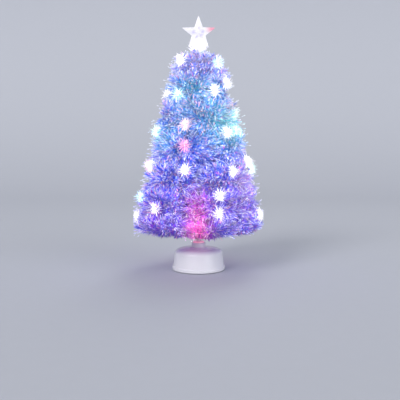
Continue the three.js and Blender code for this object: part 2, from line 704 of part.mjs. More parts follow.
// Foliage from a root to its reach: a bare stem, then whorls that grow up to the last, then a tip
function foliageOf(root, reach, rise, half, sector, { bare, whorls }) {
  const middleAt = (radius) => (radius - root) * Math.tan(rise);
  const stemTurn = (radius) => Math.asin(stem.radius / radius);
  const stemRing = (radius) => foliageRing(radius, stemTurn(radius), middleAt(radius), stem.radius, 1, 0);
  const low = root + bare;
  const pitch = (reach - whorl.sweep - low) / (whorls - 1 + whorlShares.rim);
  const rings = [stemRing(root), stemRing(low)];
  for (let i = 0; i < whorls; i++) {
    const swell = whorlShares.first + ((1 - whorlShares.first) * (i + 1)) / whorls;
    const rim = low + pitch * (i + whorlShares.rim);
    const end = low + pitch * (i + 1);
    const halfTurn = sector - Math.asin(whorl.edgeGap / rim);
    rings.push(foliageRing(rim, halfTurn, middleAt(rim), half * swell, whorlShares.valley, i % 2));
    if (i + 1 === whorls) break;
    rings.push(foliageRing(end, sector * whorlShares.waist, middleAt(end), half * whorlShares.waist, 1, 0));
  }
  return loft([...rings, [new THREE.Vector3(reach, 0, middleAt(reach))]]);
}

// Branch in its own frame: out along +X from the trunk's axis, with its hinge at height zero
function branch(tier) {
  const root = hub.pivotRadius + eye.neckLength - stem.radius;
  const reach = root + foliage.branchLength * tier.lengthShare;
  return join(branchEye(), foliageOf(root, reach, tier.rise * degree, tier.half, Math.PI / tier.count, stem));
}

// Crown: a cap over the top of the trunk, with shoots fixed in it that stand round the leader
function crownTop() {
  const outer = trunkBore + cap.wall;
  const low = trunkTop - cap.depth;
  const cup = revolve([
    [trunkBore, low],
    [outer, low],
    [outer, capTop],
    [leader.radius + gap, capTop],
    [leader.radius + gap, trunkTop + gap],
    [trunkBore, trunkTop + gap],
  ]);
  const root = outer - cap.wall / 2;
  const shoots = Array.from({ length: crown.shoots }, (_, k) => {
    const angle = crown.azimuth - 90 + (k * turn) / crown.shoots / degree;
    const made = foliageOf(root, crown.reach, crown.rise * degree, crown.half, Math.PI / crown.shoots, crown);
    return made.rotate([0, 0, angle]).translate([0, 0, trunkTop - cap.depth / 2]);
  });
  return join(cup, ...shoots);
}

// Leader: the upright top shoot, bare at either end, with the spigot for the star on top
function crownLeader() {
  const { radius, length, collarRadius, collarThick } = leader;
  const low = capTop + gap;
  const first = low + topWhorl.bareLength;
  const step = (length - 2 * topWhorl.bareLength) / topWhorl.count;
  const rings = [leaderRing(first, radius, radius, 0)];
  for (let i = 0; i < topWhorl.count; i++) {
    const valley = topWhorl.reach * whorlShares.valley;
    rings.push(leaderRing(first + step * (i + whorlShares.rim), topWhorl.reach, valley, i % 2));
    rings.push(leaderRing(first + step * (i + 1), radius, radius, 0));
  }
  const core = disc(radius, trunkTop + 2 * gap, leaderTop);
  const collar = disc(collarRadius, low, low + collarThick);
  const seat = disc(collarRadius, leaderTop - collarThick, leaderTop);
  const peg = disc(spigot.radius, leaderTop - collarThick, spigotTop, tubeSides);
  return join(loft(rings), core, collar, seat, peg);
}

// Level ring round the leader, with every other point standing out
function leaderRing(height, reach, valley, odd) {
  return Array.from({ length: topWhorl.points }, (_, k) => {
    const angle = (turn * k) / topWhorl.points;
    const radius = (k + odd) % 2 === 0 ? reach : valley;
    return new THREE.Vector3(radius * Math.cos(angle), radius * Math.sin(angle), height);
  });
}

function starBulb() {
  const { radius, length } = starLamp;
  const low = spigotTop;
  const path = new THREE.Path();
  path.moveTo(0, low);
  path.lineTo(radius, low);
  path.lineTo(radius, low + length - radius);
  path.quadraticCurveTo(radius, low + length, 0, low + length);
  return revolve(pairs(path), smallSides);
}

// Outline of the star in XZ about its centre, with its sides bowed out between tip and waist
function starOutline(radius, bulge, spin) {
  const corners = Array.from({ length: 2 * star.points }, (_, k) => {
    const angle = (turn * k) / (2 * star.points) + spin;
    const reach = k % 2 === 0 ? radius : radius * star.waistShare;
    return new THREE.Vector2(reach * Math.sin(angle), reach * Math.cos(angle));
  });
  return corners.flatMap((corner, k) => {
    const next = corners[(k + 1) % corners.length];
    const middle = corner.clone().add(next).divideScalar(2);
    const outward = new THREE.Vector2(next.y - corner.y, corner.x - next.x).normalize();
    if (outward.dot(middle) < 0) outward.negate();
    return [corner, middle.addScaledVector(outward, bulge)];
  });
}

// Half star as a shallow pyramid: a flat back at y = 0, a rim, and a point in front
function starPyramid(outline, rim, depth) {
  const ringAt = (y) => outline.map((point) => new THREE.Vector3(point.x, y, point.y));
  const front = ringAt(-rim);
  const back = ringAt(0);
  return loft([back, front, [new THREE.Vector3(0, -depth, 0)]]);
}

// Half shell of the star, hollow and open at its back, with a raised smaller star and a notch for the sleeve
function starShell() {
  const { radius, bulge, rim, depth, wall, waistShare, points } = star;
  const outer = starPyramid(starOutline(radius, bulge, 0), rim, depth);
  const raised = starPyramid(starOutline(innerStar.radius, 0, Math.PI / points), rim, innerStar.depth);
  const half = Math.PI / points;
  const waist = new THREE.Vector2(waistShare * Math.sin(half), waistShare * Math.cos(half));
  const sideShare = waist.x / Math.hypot(waist.x, 1 - waist.y);
  const scale = 1 - wall / (radius * sideShare);
  const hollow = starPyramid(starOutline(radius * scale, bulge, 0), rim * scale, depth * scale - wall / 2);
  const notchTop = sleeveTop + gap - starCentre;
  const notch = disc(sleeveOuter + gap, -radius, notchTop, tubeSides);
  return cut(join(outer, raised), hollow, notch);
}

// Sleeve that carries the star: a tube closed at the top, with a flared foot. Drawn about the star's centre.
function starSleeve() {
  const low = sleeveLow - starCentre;
  const top = sleeveTop - starCentre;
  return revolve([
    [sleeveInner, low],
    [sleeve.flareRadius, low],
    [sleeve.flareRadius, low + sleeve.wall],
    [sleeveOuter, low + sleeve.flareHeight],
    [sleeveOuter, top],
    [0, top],
    [0, top - sleeve.wall],
    [sleeveInner, top - sleeve.wall],
    [sleeveInner, low],
  ]);
}

// Assembly

add("base_shell", baseShell(), whitePlastic);
add("base_plate", basePlate(), greyPlastic);
ringPlaces(footRing, foot.angles).forEach(([x, y], k) => {
  add(`rubber_foot_${k + 1}`, rubberFoot(), rubber).position.set(x, y, 0);
});
add("lamp_chassis", lampChassis(), steel);
add("lamp_socket", lampSocket(), ceramic);
add("lamp_reflector", lampReflector(), mirrorGlass);
add("lamp_capsule", lampCapsule(), clearPlastic);
add("control_board", controlBoard(), boardGreen);
add("power_inlet", powerInlet(), blackPlastic);
add("switch_bezel", switchBezel(), blackPlastic);

const rockerMesh = add("switch_rocker", switchRocker(), blackPlastic);
rockerMesh.position.set(rocker.x, pivotY, rocker.z);
rockerMesh.rotation.x = rockerTilt * degree;

const wheelGroup = new THREE.Group();
wheelGroup.position.x = wheelX;
whole.add(wheelGroup);
add("wheel_motor", wheelMotor(), steel, wheelGroup);
add("wheel_shaft", wheelShaft(), steel, wheelGroup);
add("wheel_frame", wheelFrame(), blackPlastic, wheelGroup);
Object.entries(gels).forEach(([name, color], k) => {
  const mesh = add(`filter_${name}`, colourFilter(), paint(color, 0.15, 0, 0.6), wheelGroup);
  mesh.rotation.z = windowTurn(k);
});

add("clamp_shank", clampShank(), steel);
add("clamp_knob", clampKnob(), blackPlastic);

add("trunk_ferrule", trunkFerrule(), whitePlastic, treeGroup);
add("trunk_tube", trunkTube(), steel, treeGroup);
add("fibre_bundle", fibreBundle(), fibre, treeGroup);
tiers.forEach((tier, t) => {
  const tierGroup = new THREE.Group();
  tierGroup.position.z = tierHeight(tier);
  tierGroup.rotation.z = tierTurn(tier);
  treeGroup.add(tierGroup);
  add(`branch_hub_${t + 1}`, branchHub(tier.count), whitePlastic, tierGroup);
  for (let k = 0; k < tier.count; k++) {
    const mesh = add(`branch_${t + 1}_${k + 1}`, branch(tier), pearlFoliage, tierGroup);
    mesh.rotation.z = (k * turn) / tier.count;
  }
});
add("crown_top", crownTop(), pearlFoliage, treeGroup);
add("crown_leader", crownLeader(), pearlFoliage, treeGroup);
add("star_lamp", starBulb(), clearPlastic, treeGroup);
add("star_front", starShell(), clearPlastic, starGroup);
add("star_back", starShell(), clearPlastic, starGroup).rotation.z = Math.PI;
add("star_sleeve", starSleeve(), clearPlastic, starGroup);

export default whole;
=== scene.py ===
# %% [markdown]
# # A tabletop fibre optic Christmas tree
#
# The tree is already there as a mechanical model: a base with a lamp and a colour wheel, a trunk, six hubs,
# twenty-four hinged branches and a star. This lesson dresses it. The plain branch solids become sprays of
# thin pearl needles with small lamps among them, the star becomes a frosted moulding with a lamp inside, and
# every other piece gets the surface that it has on the real product. Everything is in metres, with Z up.

# %% Load the frame
import json
import math

import bpy
import numpy as np
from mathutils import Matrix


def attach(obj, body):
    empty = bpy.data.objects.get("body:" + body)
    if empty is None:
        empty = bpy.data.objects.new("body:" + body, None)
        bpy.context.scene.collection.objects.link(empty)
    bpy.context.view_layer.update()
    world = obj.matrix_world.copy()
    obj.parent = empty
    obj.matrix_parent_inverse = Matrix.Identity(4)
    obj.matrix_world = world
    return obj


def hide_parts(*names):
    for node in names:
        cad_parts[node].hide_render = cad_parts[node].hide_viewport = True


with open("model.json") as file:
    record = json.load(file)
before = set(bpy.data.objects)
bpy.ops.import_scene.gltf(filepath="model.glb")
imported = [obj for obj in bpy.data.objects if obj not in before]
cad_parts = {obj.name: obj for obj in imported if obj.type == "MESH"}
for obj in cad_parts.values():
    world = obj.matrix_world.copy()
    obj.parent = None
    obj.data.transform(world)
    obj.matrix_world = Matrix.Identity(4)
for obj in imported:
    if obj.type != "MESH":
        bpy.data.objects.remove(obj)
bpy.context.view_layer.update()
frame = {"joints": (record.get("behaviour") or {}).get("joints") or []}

# %% [markdown]
# ## Camera
#
# The tree was seen from the front, a little below half its height and about two metres away, with a normal
# lens. A camera could be aimed with a constraint, but a fixed place and one downward tilt are easier to read
# and to keep. The small sideways shift of the place puts the trunk where the picture has it.

# %% Camera
CAMERA_PLACE = (0.005, -1.99, 0.415)
CAMERA_TILT = -4.7  # degrees, looking down
FOCAL_LENGTH, SENSOR_WIDTH = 50, 36  # millimetres

camera_data = bpy.data.cameras.new("camera")
camera_data.lens = FOCAL_LENGTH
camera_data.sensor_width = SENSOR_WIDTH
camera = bpy.data.objects.new("camera", camera_data)
camera.location = CAMERA_PLACE
camera.rotation_euler = (math.radians(90 + CAMERA_TILT), 0, 0)
bpy.context.scene.collection.objects.link(camera)
bpy.context.scene.camera = camera
print("camera at", CAMERA_PLACE)

# %% [markdown]
# ## From numpy arrays to mesh objects
#
# Each new piece is a surface worked out with numpy. Its points come as one array and its faces as one or two
# arrays of corner numbers, and both go into the mesh with foreach_set, which is far quicker than adding
# vertices one by one. The weld step merges points that fall together, so poles and seams are closed, and a
# four-sided face with two equal corners becomes a triangle.

# %% Mesh helpers
MM = 0.001
GOLDEN = math.pi * (3 - math.sqrt(5))
UP = np.array([0, 0, 1.0])


def weld(points, faces):
    """Points equal to a hundredth of a micrometre become one. Faces that lose a corner by it come out apart."""
    _, first, back = np.unique(np.round(points, 8), axis=0, return_index=True, return_inverse=True)
    quads = back.reshape(-1)[faces]
    same = quads == np.roll(quads, -1, axis=1)
    whole = quads[~same.any(axis=1)]
    pinched = quads[same.sum(axis=1) == 1]
    where = np.argmax(pinched == np.roll(pinched, -1, axis=1), axis=1)
    order = (where[:, None] + np.arange(1, faces.shape[1])) % faces.shape[1]
    return first, whole, np.take_along_axis(pinched, order, axis=1)


def grid_faces(rows, columns, wrap=True):
    """Quads between neighbouring rows and columns of a grid; wrap joins the last column to the first."""
    i, j = np.meshgrid(np.arange(rows - 1), np.arange(columns if wrap else columns - 1), indexing="ij")
    a, b = i * columns + j, i * columns + (j + 1) % columns
    return np.stack([a, b, b + columns, a + columns], axis=-1).reshape(-1, 4)


def new_piece(name, points, faces, body, material, stands_for=(), smooth=True, colours=None):
    """Points and a list of face arrays become one mesh object that rides on a body."""
    faces = [f for f in faces if len(f)]
    mesh = bpy.data.meshes.new(name)
    corners = np.concatenate([f.ravel() for f in faces]).astype(np.int32)
    sizes = np.concatenate([np.full(len(f), f.shape[1]) for f in faces])
    mesh.vertices.add(len(points))
    mesh.vertices.foreach_set("co", np.asarray(points, np.float32).ravel())
    mesh.loops.add(len(corners))
    mesh.loops.foreach_set("vertex_index", corners)
    mesh.polygons.add(len(sizes))
    mesh.polygons.foreach_set("loop_start", np.concatenate([[0], np.cumsum(sizes)[:-1]]).astype(np.int32))
    mesh.polygons.foreach_set("use_smooth", np.full(len(sizes), smooth))
    for title, values in (colours or {}).items():
        layer = mesh.attributes.new(title, "FLOAT_COLOR", "POINT")
        layer.data.foreach_set("color", np.asarray(values, np.float32).ravel())
    mesh.update(calc_edges=True)
    mesh.materials.append(material)
    piece = bpy.data.objects.new(name, mesh)
    bpy.context.scene.collection.objects.link(piece)
    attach(piece, body)
    if stands_for:
        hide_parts(*stands_for)
    return piece


def closed_piece(name, shape, body, material, stands_for=(), smooth=True, colours=None):
    """A (points, faces) pair is welded into one piece; a welded point keeps the colours of the first one."""
    points, faces = shape
    first, quads, triangles = weld(points, faces)
    colours = {title: values[first] for title, values in (colours or {}).items()}
    return new_piece(name, points[first], [quads, triangles], body, material, stands_for, smooth, colours)


def pile(parts):
    """Several (points, faces) pairs become one pair, with the corner numbers moved on."""
    starts = np.cumsum([0] + [len(points) for points, _ in parts[:-1]])
    return np.concatenate([p for p, _ in parts]), np.concatenate([f + s for (_, f), s in zip(parts, starts)])


def round_angles(count):
    """Equal steps once round, 2 pi k / count."""
    return 2 * np.pi * np.arange(count) / count


def compass(angle):
    """Level unit vectors (cos a, sin a, 0)."""
    return np.stack([np.cos(angle), np.sin(angle), 0 * angle], axis=-1)


def turned(profile, sides, centre=(0, 0)):
    """A closed list of (radius, z) in millimetres goes round Z: x = r cos a, y = r sin a."""
    profile = np.asarray(profile, float) * MM
    xy = profile[:, None, :1] * compass(round_angles(sides))[:, :2] + np.asarray(centre) * MM
    z = np.broadcast_to(profile[:, None, 1:], xy.shape[:2] + (1,))
    return np.concatenate([xy, z], axis=-1).reshape(-1, 3), grid_faces(len(profile), sides)


def quadratic(start, bend, end, t):
    """(1-t)^2 start + 2t(1-t) bend + t^2 end."""
    return (1 - t) ** 2 * start + 2 * t * (1 - t) * bend + t**2 * end


def heading(start, bend, end, t):
    """Unit vector along the quadratic curve, from 2(1-t)(bend - start) + 2t(end - bend)."""
    return unit(2 * (1 - t) * (bend - start) + 2 * t * (end - bend))


def rounded(corners, radius, steps=4):
    """Corners of an open outline, each replaced by a small arc: a quadratic curve from one side to the other."""
    corners = np.asarray(corners, float)
    out = [corners[:1]]
    for before, corner, after in zip(corners[:-2], corners[1:-1], corners[2:]):
        a, b = before - corner, after - corner
        la, lb = np.linalg.norm(a), np.linalg.norm(b)
        reach = min(radius, 0.45 * la, 0.45 * lb)  # so that two arcs never meet
        t = np.linspace(0, 1, steps + 1)[:, None]
        out.append(quadratic(corner + a * reach / la, corner, corner + b * reach / lb, t))
    return np.concatenate(out + [corners[-1:]])


def unit(vectors):
    return vectors / np.linalg.norm(vectors, axis=-1, keepdims=True)


def across(along):
    """Two unit vectors at right angles to each direction, and to each other."""
    upright = np.abs(along[..., 2:]) > 0.95
    helper = np.where(upright, np.array([1.0, 0, 0]), UP)
    side = unit(np.cross(helper, along))
    return side, np.cross(along, side)


def tubes(paths, radii, sides=6):
    """Round tubes along paths of shape (tube, step, 3), closed with a pole at either end."""
    along = unit(np.gradient(paths, axis=1))
    side, over = across(along)
    angle = round_angles(sides)
    ring = side[:, :, None] * np.cos(angle)[:, None] + over[:, :, None] * np.sin(angle)[:, None]
    wall = paths[:, :, None] + ring * np.asarray(radii)[..., None, None]
    poles = np.broadcast_to(paths[:, [0, -1], None], wall[:, :2].shape)
    rows = np.concatenate([poles[:, :1], wall, poles[:, 1:]], axis=1)
    faces = grid_faces(rows.shape[1], sides)
    step = rows.shape[1] * sides
    return rows.reshape(-1, 3), (faces + step * np.arange(len(paths))[:, None, None]).reshape(-1, 4)


print("mesh helpers ready")

# %% [markdown]
# ## Finishes
#
# A surface looks real through small changes across it. Each finish starts from a node group that is built
# once: it takes a colour and a few amounts, reads noise on the piece's own Object coordinates, and gives back
# a changing colour, roughness and height. The shader itself stays in the material, where its plain numbers
# are set on its own sockets.

# %% Node groups
def sockets(group, way, **named):
    for title, (kind, value) in named.items():
        made = group.interface.new_socket(title.replace("_", " "), in_out=way, socket_type=kind)
        if value is not None:
            made.default_value = value


def link(tree, start, socket):
    """An output is linked to the socket; a plain number is set on the socket itself."""
    if isinstance(start, (int, float)):
        socket.default_value = start
    else:
        tree.links.new(start, socket)


def noise_node(tree, coordinates, scale, detail=2.0):
    made = tree.nodes.new("ShaderNodeTexNoise")
    for start, title in ((detail, "Detail"), (scale, "Scale"), (coordinates, "Vector")):
        link(tree, start, made.inputs[title])
    return made.outputs["Fac"]


def math_node(tree, operation, a, b):
    made = tree.nodes.new("ShaderNodeMath")
    made.operation = operation
    for value, socket in zip((a, b), made.inputs):
        link(tree, value, socket)
    return made.outputs[0]


def range_node(tree, value, low, high):
    made = tree.nodes.new("ShaderNodeMapRange")
    for start, title in ((value, "Value"), (low, "To Min"), (high, "To Max")):
        link(tree, start, made.inputs[title])
    return made.outputs["Result"]


def scaled_colour(tree, colour, amount):
    made = tree.nodes.new("ShaderNodeVectorMath")
    made.operation = "SCALE"
    link(tree, colour, made.inputs[0])
    link(tree, amount, made.inputs["Scale"])
    return made.outputs[0]


def surface_group():
    """Colour x (1 - tone x slow noise), roughness low to high with noise, height from fine noise."""
    group = bpy.data.node_groups.new("moulded surface", "ShaderNodeTree")
    sockets(group, "INPUT", Color=("NodeSocketColor", (0.8, 0.8, 0.8, 1)), Tone=("NodeSocketFloat", 0.1),
            Smoothest=("NodeSocketFloat", 0.3), Roughest=("NodeSocketFloat", 0.5),
            Grain_scale=("NodeSocketFloat", 900.0), Stretch=("NodeSocketVector", (1.0, 1.0, 1.0)))
    sockets(group, "OUTPUT", Color=("NodeSocketColor", None), Roughness=("NodeSocketFloat", None),
            Height=("NodeSocketFloat", None))
    inside = group.nodes.new("NodeGroupInput").outputs
    outside = group.nodes.new("NodeGroupOutput").inputs
    place = group.nodes.new("ShaderNodeTexCoord").outputs["Object"]
    stretched = group.nodes.new("ShaderNodeVectorMath")
    stretched.operation = "MULTIPLY"
    link(group, place, stretched.inputs[0])
    link(group, inside["Stretch"], stretched.inputs[1])
    slow = noise_node(group, place, 28.0)
    fine = noise_node(group, stretched.outputs[0], inside["Grain scale"])
    shade = math_node(group, "SUBTRACT", 1.0, math_node(group, "MULTIPLY", slow, inside["Tone"]))
    link(group, scaled_colour(group, inside["Color"], shade), outside["Color"])
    parts = [math_node(group, "MULTIPLY", noise, share) for noise, share in ((slow, 0.6), (fine, 0.4))]
    mixed = math_node(group, "ADD", *parts)
    link(group, range_node(group, mixed, inside["Smoothest"], inside["Roughest"]), outside["Roughness"])
    link(group, fine, outside["Height"])
    return group


SURFACE = surface_group()
BUMP_HEIGHT = 0.4 * MM


def group_material(name, group):
    """A new material, its node tree, its Principled shader, and a node of the group beside the shader."""
    material = bpy.data.materials.new(name)
    material.use_nodes = True
    tree = material.node_tree
    made = tree.nodes.new("ShaderNodeGroup")
    made.node_tree = group
    return material, tree, tree.nodes["Principled BSDF"], made


def finish(name, colour, tone=0.1, rough=(0.3, 0.5), grain=900.0, bump=0.05, stretch=(1, 1, 1), plain=None):
    """A Principled material with the surface group on its colour, roughness and bump."""
    material, tree, shader, made = group_material(name, SURFACE)
    made.inputs["Color"].default_value = (*colour, 1)
    made.inputs["Tone"].default_value = tone
    made.inputs["Smoothest"].default_value, made.inputs["Roughest"].default_value = rough
    made.inputs["Grain scale"].default_value = grain
    made.inputs["Stretch"].default_value = stretch
    link(tree, made.outputs["Color"], shader.inputs["Base Color"])
    link(tree, made.outputs["Roughness"], shader.inputs["Roughness"])
    if bump:
        ridge = tree.nodes.new("ShaderNodeBump")
        ridge.inputs["Strength"].default_value = bump
        ridge.inputs["Distance"].default_value = BUMP_HEIGHT
        link(tree, made.outputs["Height"], ridge.inputs["Height"])
        link(tree, ridge.outputs["Normal"], shader.inputs["Normal"])
    for title, value in (plain or {}).items():
        shader.inputs[title].default_value = value
    return material


white_gloss = finish("white gloss plastic", (0.84, 0.84, 0.88), 0.05, (0.18, 0.3), 1400, 0.02,
                     plain={"Coat Weight": 0.25})
white_satin = finish("white satin plastic", (0.8, 0.8, 0.86), 0.08, (0.35, 0.5), 1600, 0.04)
grey_plate = finish("grey textured plastic", (0.3, 0.31, 0.34), 0.15, (0.5, 0.7), 2400, 0.35)
black_plastic = finish("black textured plastic", (0.018, 0.018, 0.021), 0.2, (0.35, 0.55), 2200, 0.25)
rubber = finish("black rubber", (0.022, 0.022, 0.024), 0.25, (0.7, 0.9), 1500, 0.3)
steel = finish("plated steel", (0.55, 0.56, 0.58), 0.12, (0.2, 0.42), 260, 0.06, (1, 1, 14), {"Metallic": 1.0})
trunk_paint = finish("white enamel", (0.8, 0.8, 0.84), 0.06, (0.22, 0.35), 1100, 0.03, plain={"Coat Weight": 0.3})
ceramic = finish("unglazed ceramic", (0.78, 0.72, 0.6), 0.12, (0.6, 0.8), 1800, 0.3)
board_green = finish("board lacquer", (0.02, 0.16, 0.06), 0.3, (0.25, 0.4), 500, 0.1)
print(len(bpy.data.materials), "materials so far")

# %% [markdown]
# ## Where the foliage is
#
# The tree is a cone with a lumpy edge, widest a little above its lowest twigs. Its radius at a few heights is
# enough to describe it. Each branch fills one cell of that cone: a slice of the circle, between two heights.
# The joints of the mechanical model say where each branch turns and which way it points, so the cells are
# worked out from them instead of being typed again.

# %% The cone and its cells
CONE_Z = np.array([100, 112, 125, 142, 163, 184, 227, 269, 354, 418, 482, 546, 609, 652, 694, 737, 760, 780]) * MM
CONE_R = np.array([176, 212, 229, 235, 235, 231, 222, 216, 197, 178, 167, 149, 128, 121, 113, 96, 84, 62]) * MM
TIER_EDGES = np.array([106, 198, 290, 389, 494, 600, 697]) * MM
FARTHEST = 0.2345  # no needle reaches past this radius

TIER_COUNT = 6
STEM_WIDTH, TWIG_WIDTH = 2.3 * MM, 1.1 * MM


def cone(z):
    """Radius of the foliage at height z, between the measured ones by straight lines."""
    return np.interp(z, CONE_Z, CONE_R)


def hinge_facts():
    """Name, tier, hinge place and outward direction of each branch; the hinge axis is out x up."""
    facts = []
    for joint in frame["joints"]:
        if joint["child"].startswith("branch_"):
            tier = int(joint["child"].split("_")[1]) - 1
            facts.append((joint["child"], tier, np.array(joint["pos_m"]), np.cross(UP, joint["axis"])))
    return facts


BRANCHES = hinge_facts()
TIER_SIZE = [sum(tier == t for _, tier, _, _ in BRANCHES) for t in range(TIER_COUNT)]
print("branches in each tier:", TIER_SIZE)

# %% [markdown]
# ## The twigs of one branch
#
# A real branch is a steel wire with smaller wires twisted into it. They fan out so that their tips are about
# three centimetres apart all over the branch's part of the cone. So the tips come first: a grid over the
# cell, every other row moved along by nearly half a step, and each tip nudged by a little chance. Then each
# twig is a quadratic curve that leaves the stem along the stem and bends to its tip. The chance comes from a
# seeded generator, so the tree is the same every time.

# %% Stems and twigs
TIP_STEP = 32 * MM
TIP_INSET = 17 * MM
CELL_OVERLAP = 5 * MM
SIDE_FILL = 1.03  # how much of its slice of the circle a branch fills
TRUNK_ROOM, SWING_ROOM = 20 * MM, 0.14  # least radius of a tip, and how that grows with height over the hinge
SIDE_RISE, FRONT_RISE = 44 * MM, 20 * MM  # how much higher the lowest twigs end far out, and in front
ROW_SHIFT, TIP_CHANCE, RISE_CHANCE = 0.22, 0.16, 0.18  # of the step between tips
STEM_SAG, LAST_START = 6 * MM, 0.86  # and the share of the stem where the outermost twigs leave it
# share of the cone's radius, and of the step between tips, for each layer of tips from the outside in
LAYERS = ((1.0, 1.0), (0.78, 1.2), (0.56, 1.3), (0.34, 1.2))


def bezier(start, bend, end, t):
    """The quadratic curve for arrays of curves and one array of t, as (curve, step, 3)."""
    return quadratic(start[:, None], bend[:, None], end[:, None], t[:, None])


def tip_grid(half, low, high, depth, step, sink, rng):
    """Azimuths, heights and radii of twig tips over a cell: rows of equal steps round the cone."""
    rows = max(2, round((high - low) / step))
    angles, heights = [], []
    for row in range(rows):
        z = low + (high - low) * (row + 0.5) / rows
        columns = max(2, round(2 * half * cone(z) * depth / step))
        spread = (np.arange(columns) + 0.5 + ROW_SHIFT * (-1) ** row) / columns
        angles.append((2 * spread - 1) * half * SIDE_FILL)
        heights.append(np.full(columns, z))
    angles, heights = np.concatenate(angles), np.concatenate(heights)
    angles = angles + rng.normal(0, TIP_CHANCE * step, len(angles)) / (cone(heights) * depth)
    heights = heights + rng.normal(0, RISE_CHANCE * step, len(heights))
    radii = cone(heights) * depth - TIP_INSET + rng.normal(0, TIP_CHANCE * step, len(heights))
    return angles, np.clip(heights, low, high) - sink * (1 - depth), radii


def twig_curves(root, out, low, high, half, rng):
    """Start, bend and end points of a branch's twigs, and the three points of its stem's curve."""
    azimuth = math.atan2(out[1], out[0])
    goal = (low + high) / 2
    sink = goal - root[2]
    cell = (half, low - CELL_OVERLAP, high + CELL_OVERLAP)
    parts = [tip_grid(*cell, depth, step * TIP_STEP, sink, rng) for depth, step in LAYERS]
    angles, heights, radii = (np.concatenate(values) for values in zip(*parts))
    radii = np.maximum(radii, TRUNK_ROOM + SWING_ROOM * np.abs(heights - root[2]))
    front = np.clip(-np.sin(azimuth + angles), 0, 1)
    far = np.clip(radii / (200 * MM), 0, 1)
    lowest = TIER_EDGES[0] + 10 * MM + (SIDE_RISE + FRONT_RISE * front) * far
    lowest = lowest + rng.normal(0, 15 * MM, len(far)) * far
    heights = np.maximum(heights, lowest)
    tips = compass(azimuth + angles) * radii[:, None] + UP * heights[:, None]
    reach = cone(goal) - 3 * TIP_INSET
    end = np.array([reach * math.cos(azimuth), reach * math.sin(azimuth), goal])
    bend = 0.5 * (root + end) - UP * STEM_SAG
    share = radii / (reach + 2 * TIP_INSET) * (LAST_START - 0.6 * np.abs(angles) / half)
    share = np.clip(share, 0.05, LAST_START)[:, None]
    start, along = quadratic(root, bend, end, share), heading(root, bend, end, share)
    span = np.linalg.norm(tips - start, axis=1, keepdims=True)
    bends = start + along * span * 0.42 - UP * 0.05 * span
    return (start, bends, tips), (root, bend, end)


print("tips are", TIP_STEP, "m apart")

# %% [markdown]
# ## Needles
#
# The needles are strips of pearl film, two to three millimetres wide and the palest up to five, slit at a
# slant so that they stand away from the wire. Hair particles could draw them, but then they wouldn't be meshes
# with a place and a colour of their own. Here each needle is a closed sliver of six points and eight
# triangles: a root, four points round the widest place and a tip. They go round their twig by the golden
# angle, as seeds do, so no rows show, and lean forward more and more towards the twig's end.

# %% Needle slivers
END_LIGHT = np.array([0.45, 0.95, 0.95, 0.95, 0.95, 1.5])  # root, middle, and the cut tip, where light leaves
FILM_THICKNESS = 0.16  # half of it, as a share of a needle's width
LEAN_FIRST, LEAN_LOSS, LEAN_CHANCE = 58, 34, 9  # degrees away from the twig
NEEDLE_FACES = np.array([[2, 1, 0], [3, 2, 0], [4, 3, 0], [1, 4, 0], [1, 2, 5], [2, 3, 5], [3, 4, 5], [4, 1, 5]])


def slivers(root, direction, length, width, bow):
    """Points root, root + 0.4 L d + bow +- width (and a thin thickness) and root + L d, for every needle."""
    side, over = across(direction)
    middle = root + 0.4 * length[:, None] * direction + bow
    tip = root + length[:, None] * direction
    flat, thin = side * width[:, None] / 2, over * width[:, None] * FILM_THICKNESS
    points = np.stack([root, middle + flat, middle + thin, middle - flat, middle - thin, tip], axis=1)
    reach = np.hypot(points[..., 0], points[..., 1])
    points[..., :2] *= np.minimum(1, FARTHEST / np.maximum(reach, 1e-6))[..., None]
    faces = NEEDLE_FACES + 6 * np.arange(len(root))[:, None, None]
    return points.reshape(-1, 3), faces.reshape(-1, 3)


def needles_on(curves, count, cover, length, rng):
    """Needles over a twig's outer part: t runs to 1, needle k turns k golden angles, and the lean falls off."""
    span = np.linalg.norm(curves[2] - curves[0], axis=1)
    curve = [points[:, None] for points in curves]
    first = np.clip(1 - cover / span, 0.05, 0.9)
    k = np.arange(count)
    share = 1 - (1 - (k + 0.5) / count) ** 1.1
    t = first[:, None] + (1 - first)[:, None] * share
    t = np.clip(t + rng.normal(0, 0.01, t.shape), 0, 1)[..., None]
    place, along = quadratic(*curve, t), heading(*curve, t)
    side, over = across(along)
    turn = (k * GOLDEN + rng.uniform(0, 7, (len(span), 1)) + rng.normal(0, 0.25, t.shape[:2]))[..., None]
    away = side * np.cos(turn) + over * np.sin(turn)
    lean = np.radians(LEAN_FIRST - LEAN_LOSS * share**3 + rng.normal(0, LEAN_CHANCE, t.shape[:2]))[..., None]
    direction = unit(along * np.cos(lean) + away * np.sin(lean))
    sizes = length * (1 - 0.22 * share**2) * rng.uniform(0.78, 1.12, t.shape[:2])
    light = (0.62 + 0.62 * share**2) * rng.uniform(0.72, 1.28, (len(span), 1))
    return place.reshape(-1, 3), direction.reshape(-1, 3), sizes.ravel(), away.reshape(-1, 3), light.ravel()


print("a needle has", len(NEEDLE_FACES), "faces")
